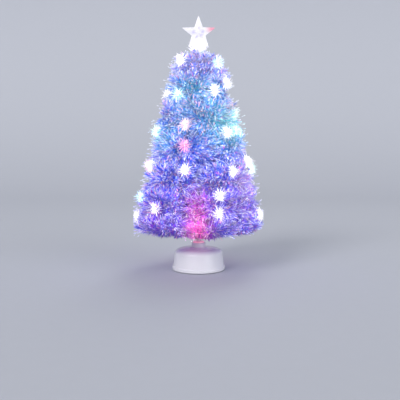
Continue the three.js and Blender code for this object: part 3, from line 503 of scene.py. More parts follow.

# %% [markdown]
# ## Light in the foliage
#
# The needles are pearly white, and all their colour is light: lavender nearly everywhere, teal across the
# middle with sea green at its right, deep blue at the sides, a pale top, and at the foot violet and orchid
# round a hot pink core. It could be done with coloured lamps, but lamps would also colour the floor. So the
# light is painted into the colour of each needle, mixed from soft zones by its place in the tree, and moved
# towards one of a few accents by chance, because no two strips catch the light alike.

# %% Colour zones
LAVENDER, PALE, DEEP = np.array([0.07, 0.15, 1.15]), np.array([0.55, 0.64, 1.30]), np.array([0.03, 0.05, 0.85])
TEAL, SEA_GREEN, VIOLET = np.array([0.09, 0.68, 1.08]), np.array([0.04, 1.15, 0.88]), np.array([0.13, 0.06, 1.30])
HOT_PINK, ROSE = np.array([2.6, 0.22, 1.35]), np.array([1.45, 0.72, 0.92])
ORCHID = np.array([0.58, 0.18, 1.35])
MAGENTA, CYAN, WHITE = np.array([0.85, 0.04, 0.62]), np.array([0.30, 0.86, 0.95]), np.array([1.50, 1.42, 1.50])
UNDER_STAR = np.array([0, 0, 0.778])  # where the star lights the crown white
ACCENTS = np.stack([LAVENDER, PALE, WHITE, ROSE, MAGENTA, CYAN, DEEP])
ACCENT_ODDS = [0.45, 0.07, 0.12, 0.08, 0.06, 0.04, 0.18]
ACCENT_SHARES = np.array([0.5, 0.9, 1.0, 1.0, 1.0, 0.9, 1.0])  # how far each accent pulls a needle
SHADE_INSIDE, SHADE_OUTSIDE = 0.62, 1.08
SHADE_AT_FOOT, FOOT_TOP = 0.66, 0.28  # the least light, and the height where it is full


def bell(value, width):
    """exp(-(value / width)^2), a soft zone that is 1 in its middle."""
    return np.exp(-((value / width) ** 2))


def toward(colour, goal, amount):
    return colour + (goal - colour) * np.clip(amount, 0, 1)[:, None]


def zone_colour(points):
    """Colour of the light at each point of the tree."""
    x, y, z = points.T
    glow = bell(x + 0.004, 0.036 + 0.10 * np.clip(0.2 - z, 0, 0.1)) * np.clip((0.33 - z) / 0.15, 0, 1)
    core = 0.6 * bell(np.hypot(x, y), 0.09) * np.clip((0.25 - z) / 0.1, 0, 1)
    zones = [
        (TEAL, 0.85 * bell(z - 0.575, 0.115)),
        # painted shade: deeper, darker blue towards the left and right sides of the tree
        (DEEP, 0.9 * np.clip(np.abs(x) / cone(z) - 0.35, 0, 0.5)),
        (SEA_GREEN, 0.95 * bell(x - 0.115, 0.075) * bell(z - 0.515, 0.085)),
        (SEA_GREEN, 0.5 * bell(x + 0.13, 0.05) * bell(z - 0.47, 0.05)),
        (SEA_GREEN, 0.5 * bell(x + 0.02, 0.09) * bell(z - 0.645, 0.035)),
        (ROSE, 0.4 * bell(np.abs(x) - 0.135, 0.035) * bell(z - 0.595, 0.03)),
        (VIOLET, 0.7 * np.clip((0.34 - z) / 0.12, 0, 1)),
        (PALE, 0.95 * np.clip((z - 0.66) / 0.06, 0, 1)),
        (WHITE, 0.6 * bell(np.linalg.norm(points - UNDER_STAR, axis=1), 0.06)),
        (ROSE, 0.35 * bell(x - 0.17, 0.07) * bell(z - 0.31, 0.12)),
        (MAGENTA, 0.3 * bell(x + 0.15, 0.06) * bell(z - 0.20, 0.06)),
        (ORCHID, 0.55 * bell(x + 0.004, 0.09) * np.clip((0.34 - z) / 0.14, 0, 1)),
        (HOT_PINK, np.maximum(glow, core)),
    ]
    colour = np.tile(LAVENDER, (len(points), 1))
    for goal, amount in zones:
        colour = toward(colour, goal, amount)
    return colour


def needle_colours(points, rng):
    """Zone colour, moved part way to a random accent, with painted shade deep inside the tree and at its foot."""
    pick = rng.choice(len(ACCENTS), len(points), p=ACCENT_ODDS)
    pull = rng.uniform(0.45, 0.95, len(points)) * ACCENT_SHARES[pick]
    mixed = toward(zone_colour(points), ACCENTS[pick], pull)
    # painted shade: needles deeper in the tree and lower towards its foot are darker
    depth = np.hypot(points[:, 0], points[:, 1]) / cone(points[:, 2])
    span = SHADE_OUTSIDE - SHADE_INSIDE
    shade = np.clip(SHADE_INSIDE + span * (depth - 0.35) / 0.55, SHADE_INSIDE, SHADE_OUTSIDE)
    height = np.clip((points[:, 2] - FOOT_TOP / 2) / (FOOT_TOP / 2), 0, 1)
    shade = shade * (SHADE_AT_FOOT + (1 - SHADE_AT_FOOT) * height)
    # painted light: the needles round the star are kept bright, as if lit by it
    shade = np.maximum(shade, 1.15 * bell(np.linalg.norm(points - UNDER_STAR, axis=1), 0.15))
    return mixed * (shade * rng.uniform(0.88, 1.12, len(points)))[:, None]


print(len(ACCENTS), "accents")

# %% [markdown]
# ## Lamps among the needles
#
# Small lamps sit at the tips of some twigs, and each lights the film round it to its own colour. The places
# in front are read off the picture as an azimuth from the front and a height on the cone; those at the back
# carry on in the same rhythm. A point light in each would be the obvious way, but dozens of them are slow and
# would light things beyond the tree. Instead the needles near a lamp are made paler and brighter by their
# distance to it, and a tuft of straight, bright needles stands round it.

# %% Lamp places
# azimuth in degrees, height in millimetres, and kind: 0 white, 1 cyan, 2 green-white, 3 rose, 4 peach
LAMPS_IN_FRONT = [
    (-40, 733, 0), (42, 721, 1), (-35, 615, 2), (26, 629, 0), (55, 655, 0), (-17, 512, 4), (-67, 492, 2),
    (37, 487, 0), (54, 495, 1), (-66, 378, 0), (-14, 363, 0), (38, 359, 0), (72, 393, 0), (86, 364, 2),
    (-82, 262, 1), (-84, 193, 0), (-43, 235, 0), (20, 281, 0), (18, 223, 0), (84, 200, 0), (-16, 443, 3),
]
LAMPS_BEHIND = [
    (128, 712, 0), (-150, 735, 1), (170, 640, 0), (-112, 628, 0), (112, 560, 2), (-165, 540, 0), (-128, 468, 1),
    (150, 455, 0), (-104, 372, 3), (178, 370, 0), (122, 330, 0), (-150, 300, 0), (146, 238, 0), (-118, 205, 2),
    (108, 190, 1), (-172, 196, 0),
]
LAMP_COLOURS = np.array([[1.0, 0.98, 1.0], [0.62, 0.98, 1.0], [0.72, 1.0, 0.90], [1.0, 0.40, 0.58],
                         [1.0, 0.72, 0.62]])
LAMP_SHARE = 0.95  # how far out on the cone a lamp sits
HALO = 9 * MM
FILM_TINT, FILM_GLOW = 0.38, 0.45  # shares of the light painted on a needle in its base colour and in its glow
LAMP_TINT, LAMP_GLOW, TUFT_GLOW = 0.8, 0.6, 1.3  # what a lamp adds to both, and to the glow of its tuft


def lamp_places(table):
    """Azimuth a from the front and height z give (R sin a, -R cos a, z) with R a share of the cone's radius."""
    table = np.array(table, float)
    angle, z = np.radians(table[:, 0]), table[:, 1] * MM
    radius = cone(z) * LAMP_SHARE
    return np.stack([radius * np.sin(angle), -radius * np.cos(angle), z], axis=-1), table[:, 2].astype(int)


LAMP_AT, LAMP_KIND = lamp_places(LAMPS_IN_FRONT + LAMPS_BEHIND)
LAMP_OUT = unit(LAMP_AT * [1, 1, 0] + [0, 0, 0.05])
print(len(LAMP_AT), "lamps")

# %% [markdown]
# The lamp itself is a clear dome on a short white holder, and one object holds all the lamps of a branch. The
# dome's profile is turned round the lamp's own axis, so each point is place + r cos a side + r sin a over
# + h out.

# %% Lamp meshes and halos
LENS = np.array([[0, -1.5], [2.1, -1.5], [2.6, -0.6], [2.6, 1.6], [2.3, 3.2], [1.5, 4.4], [0, 4.9]]) * MM
HOLDER = np.array([[0, -9], [1.9, -9], [3.0, -8], [3.2, -1.2], [2.7, -0.4], [0, -0.4]]) * MM
LAMP_SIDES = 8


def spun(profile, places, outward):
    """The profile (r, h) turned round each place's outward direction."""
    side, over = across(outward)
    angle = round_angles(LAMP_SIDES)
    ring = side[:, None] * np.cos(angle)[:, None] + over[:, None] * np.sin(angle)[:, None]
    wall = ring[:, None] * profile[:, 0][:, None, None] + (outward[:, None] * profile[:, 1:])[:, :, None]
    points = places[:, None, None] + wall
    faces = grid_faces(len(profile), LAMP_SIDES)
    step = len(profile) * LAMP_SIDES
    return points.reshape(-1, 3), (faces + step * np.arange(len(places))[:, None, None]).reshape(-1, 4)


def tuft(place, outward, rng, count=56):
    """Straight needles from one place, spread over most of a sphere by the golden angle."""
    k = np.arange(count)
    rise = 1 - 1.5 * (k + 0.5) / count
    side, over = across(outward[None])
    flat = np.sqrt(1 - rise**2)[:, None]
    turn = (k * GOLDEN)[:, None]
    direction = unit(flat * (side * np.cos(turn) + over * np.sin(turn)) + rise[:, None] * outward)
    return np.tile(place, (count, 1)) + direction * 2 * MM, direction, rng.uniform(16, 33, count) * MM


def near_lamps(points):
    """How much lamp light reaches each point, exp(-(d / halo)^2), and the colour of the nearest lamp."""
    gap = np.linalg.norm(points[:, None] - np.vstack([LAMP_AT, UNDER_STAR]), axis=-1)
    return bell(gap.min(axis=1), HALO), LAMP_COLOURS[np.append(LAMP_KIND, 0)[gap.argmin(axis=1)]]


def light_and_tint(middle, own, lift=0.0):
    """Base colour and emission of needles from their middles and own, the light painted on them."""
    amount, lamp_colour = near_lamps(middle)
    tint = own * FILM_TINT + (lamp_colour - own) * np.clip(LAMP_TINT * amount + lift, 0, 1)[:, None]
    glow = own * FILM_GLOW + lamp_colour * (LAMP_GLOW * amount + TUFT_GLOW * lift)[:, None]
    return tint, glow


print("halo radius", HALO)

# %% [markdown]
# The pearl film has one material. Its colour and its glow come from the two attributes that every needle
# carries, and slow noise breaks them up a little, as the light does. Its strength is a plain number on the
# shader.

# %% Pearl film, fibres and lenses
def film_group():
    """Attribute colours times 0.78 to 1.16 by noise, and a roughness between 0.28 and 0.5."""
    group = bpy.data.node_groups.new("pearl film", "ShaderNodeTree")
    sockets(group, "INPUT", Tint=("NodeSocketColor", None), Glow=("NodeSocketColor", None),
            Scale=("NodeSocketFloat", 160.0))
    sockets(group, "OUTPUT", Color=("NodeSocketColor", None), Glow=("NodeSocketColor", None),
            Roughness=("NodeSocketFloat", None))
    inside, outside = group.nodes.new("NodeGroupInput").outputs, group.nodes.new("NodeGroupOutput").inputs
    place = group.nodes.new("ShaderNodeTexCoord").outputs["Object"]
    speck = noise_node(group, place, inside["Scale"], 1.0)
    level = range_node(group, speck, 0.78, 1.16)
    link(group, scaled_colour(group, inside["Tint"], level), outside["Color"])
    link(group, scaled_colour(group, inside["Glow"], level), outside["Glow"])
    link(group, range_node(group, speck, 0.28, 0.5), outside["Roughness"])
    return group


FILM = film_group()


def lit_material(name, strength, **plain):
    """A Principled material that takes colour and emission from the attributes tint and glow."""
    material, tree, shader, made = group_material(name, FILM)
    for title in ("tint", "glow"):
        source = tree.nodes.new("ShaderNodeAttribute")
        source.attribute_name = title
        link(tree, source.outputs["Color"], made.inputs[title.capitalize()])
    link(tree, made.outputs["Color"], shader.inputs["Base Color"])
    link(tree, made.outputs["Glow"], shader.inputs["Emission Color"])
    link(tree, made.outputs["Roughness"], shader.inputs["Roughness"])
    shader.inputs["Emission Strength"].default_value = strength
    for title, value in plain.items():
        shader.inputs[title.replace("_", " ")].default_value = value
    return material


needle_film = lit_material("pearl needle film", 1.0, Specular_IOR_Level=0.25)
fibre_plastic = lit_material("clear fibre", 1.0, Coat_Weight=0.4)
lens_plastic = lit_material("lit lens", 1.6, Coat_Weight=0.6)
wire_film = lit_material("film wrapped wire", 1.0)
print("film materials ready")

# %% [markdown]
# Every lit piece carries its two colours as attributes of its points. The wires are wrapped in the same film
# as the needles, and take the light of the zone round them.

# %% Colours as attributes
NEEDLE_WIDTH, PALE_EXTRA = (2.2, 3.4), 1.8  # millimetres
NEEDLE_BOW = 0.05  # of a needle's length


def lit(tint, glow):
    """The two colour attributes of a lit piece, each with an alpha of 1."""
    return {title: np.concatenate([colours, np.ones((len(colours), 1))], axis=1)
            for title, colours in (("tint", tint), ("glow", glow))}


def wired_piece(name, parts, body, stands_for):
    """Wires and other rigid parts of the foliage as one piece, in the light of their zones."""
    points, faces = pile(parts)
    light = zone_colour(points)
    colours = lit(light * 0.6, light * 0.3)
    return closed_piece(name, (points, faces), body, wire_film, stands_for, True, colours)


def needle_piece(name, needles, body, rng, lift=0.0, stands_for=()):
    """All needles of one piece, from the arrays (root, direction, length, away, light)."""
    root, direction, length, away, light = needles
    middle = root + direction * length[:, None] / 2
    # own is the light painted on each needle, with painted shade inside and at the foot; the film itself is white
    own = needle_colours(middle, rng)
    width = (rng.uniform(*NEEDLE_WIDTH, len(root)) + PALE_EXTRA * (own.min(axis=1) > 0.5)) * MM
    pair = light_and_tint(middle, own * light[:, None], lift)
    points, faces = slivers(root, direction, length, width, away * length[:, None] * NEEDLE_BOW)
    colours = lit(*((values[:, None] * END_LIGHT[:, None]).reshape(-1, 3) for values in pair))
    return new_piece(name, points, [faces], body, needle_film, stands_for, False, colours)


# %% [markdown]
# ## Fibres
#
# Hair-thin clear fibres run from the lamp in the base up through the trunk and out along the twigs. Only
# their last few centimetres show, and only their ends shine. A curve object with a bevel would do for one;
# for thousands, one array of four-sided tubes per branch is lighter.

# %% Fibre ends
FIBRE_SIDES, FIBRE_RADIUS, BEAD_RADIUS = 4, 0.3 * MM, 0.75 * MM
FIBRE_SHINE = np.array([0, 0.02, 0.03, 0.05, 0.08, 0.12, 1.0, 1.3])  # of each ring of points from root to bead


def fibre_piece(name, curves, body, rng, per_twig=3):
    """Short tubes that leave the outer part of each twig and end in a bright bead a little past the needles."""
    start, bend, end = (np.repeat(part, per_twig, axis=0) for part in curves)
    along = unit(end - bend)
    side, over = across(along)
    turn = rng.uniform(0, 2 * np.pi, len(start))[:, None]
    away = side * np.cos(turn) + over * np.sin(turn)
    root = 0.45 * bend + 0.55 * end
    span = np.linalg.norm(end - root, axis=1, keepdims=True) + rng.uniform(8, 20, (len(start), 1)) * MM
    lean = rng.uniform(0.15, 0.55, (len(start), 1))
    t = np.linspace(0, 1, 6)[None, :, None]
    paths = root[:, None] + span[:, None] * (along[:, None] * t + (away * lean)[:, None] * t**1.5)
    reach = np.hypot(paths[..., 0], paths[..., 1])
    paths[..., :2] *= np.minimum(1, (FARTHEST - 1.5 * MM) / np.maximum(reach, 1e-6))[..., None]
    radii = np.full(paths.shape[:2], FIBRE_RADIUS)
    radii[:, -1] = BEAD_RADIUS
    pure = toward(zone_colour(paths[:, -1]), np.array([1.0, 1.0, 1.0]), rng.uniform(0.3, 0.9, len(paths)))
    glow = np.repeat(pure[:, None] * FIBRE_SHINE[:, None], FIBRE_SIDES, axis=1).reshape(-1, 3)
    tint = toward(pure, np.array([0.8, 0.85, 1.0]), np.full(len(pure), 0.6))
    tint = np.repeat(tint, len(FIBRE_SHINE) * FIBRE_SIDES, axis=0)
    shape = tubes(paths, radii, FIBRE_SIDES)
    return closed_piece(name, shape, body, fibre_plastic, (), True, lit(tint, glow))


print("fibre ends ready")

# %% [markdown]
# ## Branches
#
# Now the pieces of a branch come together: the wire frame with its eye on the hinge pin, the needles, the
# fibre ends and the lamps. The frame stands for the mechanical model's branch, and all four ride on its body,
# so the whole spray tips up and down on its hinge.

# %% Branch frames
EYE_RADIUS, EYE_HOLE, EYE_HALF, NECK_LENGTH, NECK_HALF = 3.4, 1.45, 1.8, 13.5, 1.9  # millimetres
NECK_SIDES = 16


def eye_and_neck(pivot, out):
    """A ring round the hinge axis, drawn as a turned section, and a rounded bar that runs outward from it."""
    section = rounded([(EYE_HOLE, -EYE_HALF), (EYE_RADIUS, -EYE_HALF), (EYE_RADIUS, EYE_HALF),
                       (EYE_HOLE, EYE_HALF), (EYE_HOLE, -EYE_HALF)], 0.5, 3)
    ring, ring_faces = turned(section, 24)
    across_out = np.cross(UP, out)
    ring = ring @ np.stack([out, UP, -across_out]) + pivot
    angle = round_angles(NECK_SIDES)
    super_y = np.sign(np.cos(angle)) * np.abs(np.cos(angle)) ** 0.5 * EYE_HALF * 0.94 * MM
    super_z = np.sign(np.sin(angle)) * np.abs(np.sin(angle)) ** 0.5 * NECK_HALF * MM
    width = np.array([0, 1, 1, 1, 1, 0.95, 0])
    run = (EYE_RADIUS - 0.9 + (NECK_LENGTH - EYE_RADIUS) * np.linspace(0, 1, len(width))) * MM
    section = across_out * super_y[:, None] + UP * super_z[:, None]
    bar = pivot + out * run[:, None, None] + width[:, None, None] * section
    return pile([(ring, ring_faces), (bar.reshape(-1, 3), grid_faces(len(width), NECK_SIDES))])


def twig_tubes(curves, thickness, end_share=0.55):
    """Every twig as a tube that thins from its thickness to a share of it at the tip."""
    t = np.linspace(0, 1, 9)
    taper = np.interp(t, [0, 1], [1, end_share])
    return tubes(bezier(*curves, t), np.broadcast_to(taper * thickness, (len(curves[0]), len(t))), 6)


def frame_piece(name, curves, stem, body, pivot, out, lamps, stands_for):
    """Stem and twigs as tubes that thin towards their ends, with the eye, the neck and the lamp holders."""
    stem_path = bezier(*(point[None] for point in stem), np.linspace(0, 1, 14))
    stem_tube = tubes(stem_path, np.linspace(1, 0.6, 14)[None] * STEM_WIDTH, 10)
    parts = [twig_tubes(curves, TWIG_WIDTH), stem_tube, eye_and_neck(pivot, out)]
    if len(lamps):
        parts.append(spun(HOLDER, LAMP_AT[lamps], LAMP_OUT[lamps]))
    return wired_piece(name, parts, body, stands_for)


def lens_piece(name, lamps, body):
    glow = np.repeat(LAMP_COLOURS[LAMP_KIND[lamps]], len(LENS) * LAMP_SIDES, axis=0)
    domes = spun(LENS, LAMP_AT[lamps], LAMP_OUT[lamps])
    return closed_piece(name, domes, body, lens_plastic, (), True, lit(glow, glow * 1.2))


def spray(name, curves, lamps, body, seed, count, stands_for, cover=74 * MM, length=26 * MM):
    """Needles of one branch, with the tufts of its lamps; the brightness of the tufts is raised."""
    rng = np.random.default_rng(seed)
    needles = [needles_on(curves, count, cover, length, rng)]
    bright = [np.zeros(len(needles[0][0]))]
    for lamp in lamps:
        root, direction, sizes = tuft(LAMP_AT[lamp], LAMP_OUT[lamp], rng)
        needles.append((root, direction, sizes, direction * 0, np.ones(len(root))))
        bright.append(rng.uniform(0.55, 1.0, len(root)))
    joined = tuple(np.concatenate(parts) for parts in zip(*needles))
    needle_piece(name + "_needles", joined, body, rng, np.concatenate(bright), stands_for)
    fibre_piece(name + "_fibres", curves, body, rng)
    if len(lamps):
        lens_piece(name + "_lamps", np.array(lamps), body)
    return len(joined[0])


# %% [markdown]
# A lamp belongs to the branch whose cell it lies in: the same tier, and less than half a slice away.

# %% All branches
NEEDLES_PER_TWIG = 90


def lamps_of(tier, out):
    """Numbers of the lamps whose height is in the tier and whose azimuth is nearest to this branch."""
    low, high = TIER_EDGES[tier], TIER_EDGES[tier + 1]
    facing = np.cos(np.arctan2(LAMP_AT[:, 1], LAMP_AT[:, 0]) - math.atan2(out[1], out[0]))
    inside = (LAMP_AT[:, 2] >= low) & (LAMP_AT[:, 2] < high)
    return np.nonzero(inside & (facing >= math.cos(math.pi / TIER_SIZE[tier]) - 1e-9))[0]


total = 0
for number, (name, tier, pivot, out) in enumerate(BRANCHES):
    rng = np.random.default_rng(500 + number)
    half = math.pi / TIER_SIZE[tier]
    root = pivot + out * 12 * MM
    curves, stem = twig_curves(root, out, TIER_EDGES[tier], TIER_EDGES[tier + 1], half, rng)
    lamps = lamps_of(tier, out)
    frame_piece(name + "_frame", curves, stem, name, pivot, out, lamps, [name])
    total += spray(name, curves, lamps, name, 900 + number, NEEDLES_PER_TWIG, [name])
print("needles on the branches:", total)

# %% [markdown]
# ## Crown
#
# Above the last hub the trunk ends in a cap with short upright shoots, and the foliage narrows to a tuft below
# the star. It is made as a branch is, but its cell goes all the way round and its twigs start from the cap.

# %% Crown
CROWN_LOW, CROWN_HIGH = 694 * MM, 770 * MM
CAP_PROFILE = [(0, 684.0), (6.6, 684.0), (6.6, 694.2), (9.0, 694.2), (9.0, 696.0), (7.6, 697.3), (0, 697.3)]


def crown_curves(rng):
    """Twigs from a ring on the cap to tips all over the crown's cell."""
    cell = (math.pi, CROWN_LOW, CROWN_HIGH)
    parts = [tip_grid(*cell, depth, step * MM, 0, rng) for depth, step in ((1.0, 32), (0.6, 36))]
    angles, heights, radii = (np.concatenate(values) for values in zip(*parts))
    ring = compass(angles)
    tips = ring * radii[:, None] + UP * heights[:, None]
    start = ring * 4.6 * MM + UP * 695.5 * MM
    return start, 0.55 * start + 0.45 * tips + UP * 14 * MM, tips


rng = np.random.default_rng(71)
crown = crown_curves(rng)
cap = turned(CAP_PROFILE, 32)
above = np.nonzero(LAMP_AT[:, 2] >= TIER_EDGES[-1])[0]
holders = spun(HOLDER, LAMP_AT[above], LAMP_OUT[above])
wired_piece("crown_shoots", [twig_tubes(crown, 1.2 * MM), cap, holders], "tree", ["crown_top"])
count = spray("crown", crown, above, "tree", 72, NEEDLES_PER_TWIG, ["crown_top"], 74 * MM, 24 * MM)
print("crown needles:", count)

# %% [markdown]
# The leader is the thin upright that carries the star. Short needles stand round it from the cap to the
# collar on which the star's sleeve rests.

# %% Leader
LEADER_PROFILE = rounded([(0, 697.4), (6.2, 697.4), (6.2, 701.0), (3.4, 701.0), (3.4, 771.0), (6.2, 771.0),
                          (6.2, 775.0), (4.0, 775.0), (4.0, 804.6), (0, 804.6)], 0.5, 3)


def leader_curves(rng, count=9):
    """One straight run up the leader and short twigs from it, like the ribs of an umbrella blown upwards."""
    k = np.arange(count)
    low = 712 * MM + 44 * MM * k / count
    ring = compass(k * GOLDEN)
    start = ring * 3 * MM + UP * low[:, None]
    reach = rng.uniform(30, 44, (count, 1)) * MM
    tips = start + ring * reach + UP * rng.uniform(10, 26, (count, 1)) * MM
    straight = np.array([[[0, 0, 703.0], [0, 0, 735.0], [0, 0, 766.0]]]) * MM
    curves = np.concatenate([np.stack([start, 0.5 * (start + tips) - [0, 0, 4 * MM], tips], axis=1), straight])
    return curves[:, 0], curves[:, 1], curves[:, 2]


rng = np.random.default_rng(81)
leader = leader_curves(rng)
post = turned(LEADER_PROFILE, 32)
ribs = twig_tubes([part[:-1] for part in leader], 0.9 * MM, 1)
wired_piece("leader_post", [post, ribs], "tree", ["crown_leader"])
count = spray("leader", leader, [], "tree", 82, NEEDLES_PER_TWIG, ["crown_leader"], 64 * MM, 21 * MM)
print("leader needles:", count)

# %% [markdown]
# The trunk tube is wound with the same film between its hubs, which hides it from the front, and the last of
# it stands up round the star's socket, where the lamp turns it white.

# %% Film round the trunk and under the star
WRAP_LOW, WRAP_HIGH, WRAP_COUNT = 106 * MM, 690 * MM, 1800


def wound_needles(low, high, count, radius, lean, length, rng):
    """Needle k starts at height low + (high - low) k / count, k times the golden angle round the post."""
    k = np.arange(count)
    ring = compass(k * GOLDEN)
    tilt = np.radians(rng.uniform(*lean, count))[:, None]
    root = ring * radius + UP * (low + (high - low) * (k / count))[:, None]
    direction = ring * np.cos(tilt) + UP * np.sin(tilt)
    return root, direction, rng.uniform(*length, count) * MM, 0 * ring, np.ones(count)


rng = np.random.default_rng(91)
wrap = wound_needles(WRAP_LOW, WRAP_HIGH, WRAP_COUNT, 8.2 * MM, (-15, 45), (20, 32), rng)
above_cap = wound_needles(698 * MM, 768 * MM, 260, 3.6 * MM, (0, 50), (22, 34), rng)
wrap = tuple(np.concatenate(parts) for parts in zip(wrap, above_cap))
needle_piece("trunk_needles", wrap, "tree", rng, 0.0)
rng = np.random.default_rng(92)
under_star = wound_needles(768 * MM, 778 * MM, 130, 6.6 * MM, (28, 82), (26, 47), rng)
needle_piece("star_tuft", under_star, "tree", rng, 0.7)
print("needles round the trunk:", WRAP_COUNT)

# %% [markdown]
# ## Base
#
# The pot is a white gloss moulding: a plinth band, a slightly tapered skirt, a domed shoulder and a neck that
# takes the trunk. The mechanical model has it in flat facets. A revolve with ninety-six steps gives the round
# form, and leaving out the faces of one patch, outside and inside, opens the window for the back panel.

# %% The pot
WINDOW = {"half": 28.2, "low": 18.8, "high": 45.2}  # opening in the wall at the back, in millimetres
POT_SIDES = 96


def arc(start, bend, end, steps):
    """Points of a quadratic curve, without the first."""
    points = (np.array(point, float) for point in (start, bend, end))
    return quadratic(*points, np.linspace(0, 1, steps + 1)[1:, None])


def skirt_radius(z):
    return np.interp(z, [2, 14, 15, 58], [95, 95, 91.5, 87])


def pot_profile():
    """Outside of the wall from the foot up, over the rim of the neck, and inside back down, as (radius, z)."""
    levels = [16.0, WINDOW["low"], 32.0, WINDOW["high"], 52.0]
    outside = [(93.6, 2.0), (94.7, 2.4), (95.0, 3.6), (95.0, 12.2), (94.5, 13.5), (93.2, 14.0), (91.9, 14.3),
               (91.5, 15.0)]
    outside += [(skirt_radius(z), z) for z in levels] + [(87.0, 58.0)]
    shoulder, neck = arc((87, 58), (87, 78), (48, 78), 12), arc((48, 78), (25, 78), (25, 87), 8)
    rim = [(25, 96.9), (24.7, 97.7), (24.0, 98.0), (14.8, 98.0), (14.3, 97.5), (14.3, 64), (16.9, 64), (16.9, 80)]
    inside = [(22.4, 84), (24, 78), (48, 75.4), (70, 73), (82, 66), (84.4, 58)]
    inside += [(skirt_radius(z) - 2.6, z) for z in levels[::-1]] + [(88.9, 14), (92.4, 11.4), (92.4, 2.0)]
    return np.concatenate([outside, shoulder, neck, rim, inside, outside[:1]])


def pot_shape():
    """A revolve whose columns are moved onto the window's upright edges, with the window's faces left out."""
    profile = pot_profile()
    edge = math.asin(WINDOW["half"] / 90.0)
    angle = round_angles(POT_SIDES)
    back = np.pi / 2
    near = [np.argmin(np.abs(angle - (back + way * edge))) for way in (-1, 1)]
    angle[near[0]:near[1] + 1] = np.linspace(back - edge, back + edge, near[1] - near[0] + 1)
    xy = profile[:, None, :1] * compass(angle)[:, :2]
    points = np.concatenate([xy, np.broadcast_to(profile[:, None, 1:], xy.shape[:2] + (1,))], axis=-1)
    faces = grid_faces(len(profile), POT_SIDES).reshape(len(profile) - 1, POT_SIDES, 4)
    low, high = profile[:-1, 1], profile[1:, 1]
    between_edges = np.minimum(low, high) >= WINDOW["low"] - 0.01
    between_edges &= np.maximum(low, high) <= WINDOW["high"] + 0.01
    outer = between_edges & (np.arange(len(low)) < len(low) // 2)
    keep = np.ones(faces.shape[:2], bool)
    keep[np.nonzero(between_edges)[0], near[0]:near[1]] = False
    o, i = np.nonzero(outer)[0], np.nonzero(between_edges & ~outer)[0]
    rows_out, rows_in = np.arange(o[0], o[-1] + 2), np.arange(i[0], i[-1] + 2)[::-1]
    number = np.arange(len(profile))[:, None] * POT_SIDES + np.arange(POT_SIDES)
    walls = []
    for row_out, row_in, flip in ((rows_out[0], rows_in[0], False), (rows_out[-1], rows_in[-1], True)):
        a, b = number[row_out, near[0]:near[1]], number[row_out, near[0] + 1:near[1] + 1]
        c, d = number[row_in, near[0] + 1:near[1] + 1], number[row_in, near[0]:near[1]]
        walls.append(np.stack([d, c, b, a] if flip else [a, b, c, d], axis=-1))
    for column, flip in ((near[0], True), (near[1], False)):
        a, b = number[rows_out[:-1], column], number[rows_out[1:], column]
        c, d = number[rows_in[1:], column], number[rows_in[:-1], column]
        walls.append(np.stack([d, c, b, a] if flip else [a, b, c, d], axis=-1))
    return points.reshape(-1, 3) * MM, np.concatenate([faces[keep]] + walls)


pot = closed_piece("base_pot", pot_shape(), "base", white_gloss, ["base_shell"])
print("pot:", len(pot.data.vertices), "points")

# %% [markdown]
# The panel at the back is a shallow tray set into that window, with square openings for the inlet and the
# switch. It is a grid too: its lines run along the edges of the openings, and each cell is either plastic or
# left out. The clamp screw goes into a short round boss on the neck, turned about the Y axis.

# %% The back panel and the clamp boss
PANEL_FRONT, PANEL_BACK = 83.0, 80.0
OPENINGS = ((-20.0, -10.0, 27.0, 37.0), (8.4, 19.6, 23.2, 40.8))  # left, right, low and high of each
TRAY_INSET = 0.25  # of the tray's front edge under the skirt
CLAMP_Z = 91.0


def slab_with_openings(x, z, near, far):
    """A slab between two planes: front and back cells of a grid, walls wherever a cell meets an empty one."""
    middle_x, middle_z = (x[1:] + x[:-1]) / 2, (z[1:] + z[:-1]) / 2
    filled = np.ones((len(x) - 1, len(z) - 1), bool)
    for left, right, low, high in OPENINGS:
        inside = (middle_x[:, None] > left) & (middle_x[:, None] < right) & (middle_z > low) & (middle_z < high)
        filled &= ~inside
    number = np.arange(len(x))[:, None] * len(z) + np.arange(len(z))
    shift = number.size
    i, k = np.nonzero(filled)
    cell = np.stack([number[i, k], number[i + 1, k], number[i + 1, k + 1], number[i, k + 1]], axis=-1)
    faces = [cell[:, ::-1] + shift, cell]
    padded = np.pad(filled, 1)
    for di, dk, a, b in ((-1, 0, 3, 0), (1, 0, 1, 2), (0, -1, 0, 1), (0, 1, 2, 3)):
        edge = ~padded[i + 1 + di, k + 1 + dk]
        start, end = cell[edge, a], cell[edge, b]
        faces.append(np.stack([end, start, start + shift, end + shift], axis=-1))
    grid_x, grid_z = (values.ravel() for values in np.meshgrid(x, z, indexing="ij"))
    points = np.concatenate([np.stack([grid_x, np.full(len(grid_x), y), grid_z], axis=-1) for y in (near, far)])
    return points * MM, np.concatenate(faces)


def tray_walls(inner, outer, back, steps=12):
    """A square tube whose front edge follows the round skirt: y = sqrt(R(z)^2 - x^2) less a hair."""
    rows = []
    loops = ((outer, False), (outer, True), (inner, True), (inner, False), (outer, False))
    for (half, low, high), in_front in loops:
        level, up, side = np.linspace(-half, half, steps), np.linspace(low, high, steps), np.ones(steps - 1)
        x = np.concatenate([level[:-1], side * half, level[:0:-1], -side * half])
        z = np.concatenate([side * low, up[:-1], side * high, up[:0:-1]])
        y = np.sqrt(skirt_radius(z) ** 2 - x**2) - TRAY_INSET if in_front else np.full(len(x), back)
        rows.append(np.stack([x, y, z], axis=-1))
    rows = np.array(rows)
    return rows.reshape(-1, 3) * MM, grid_faces(len(rows), rows.shape[1])


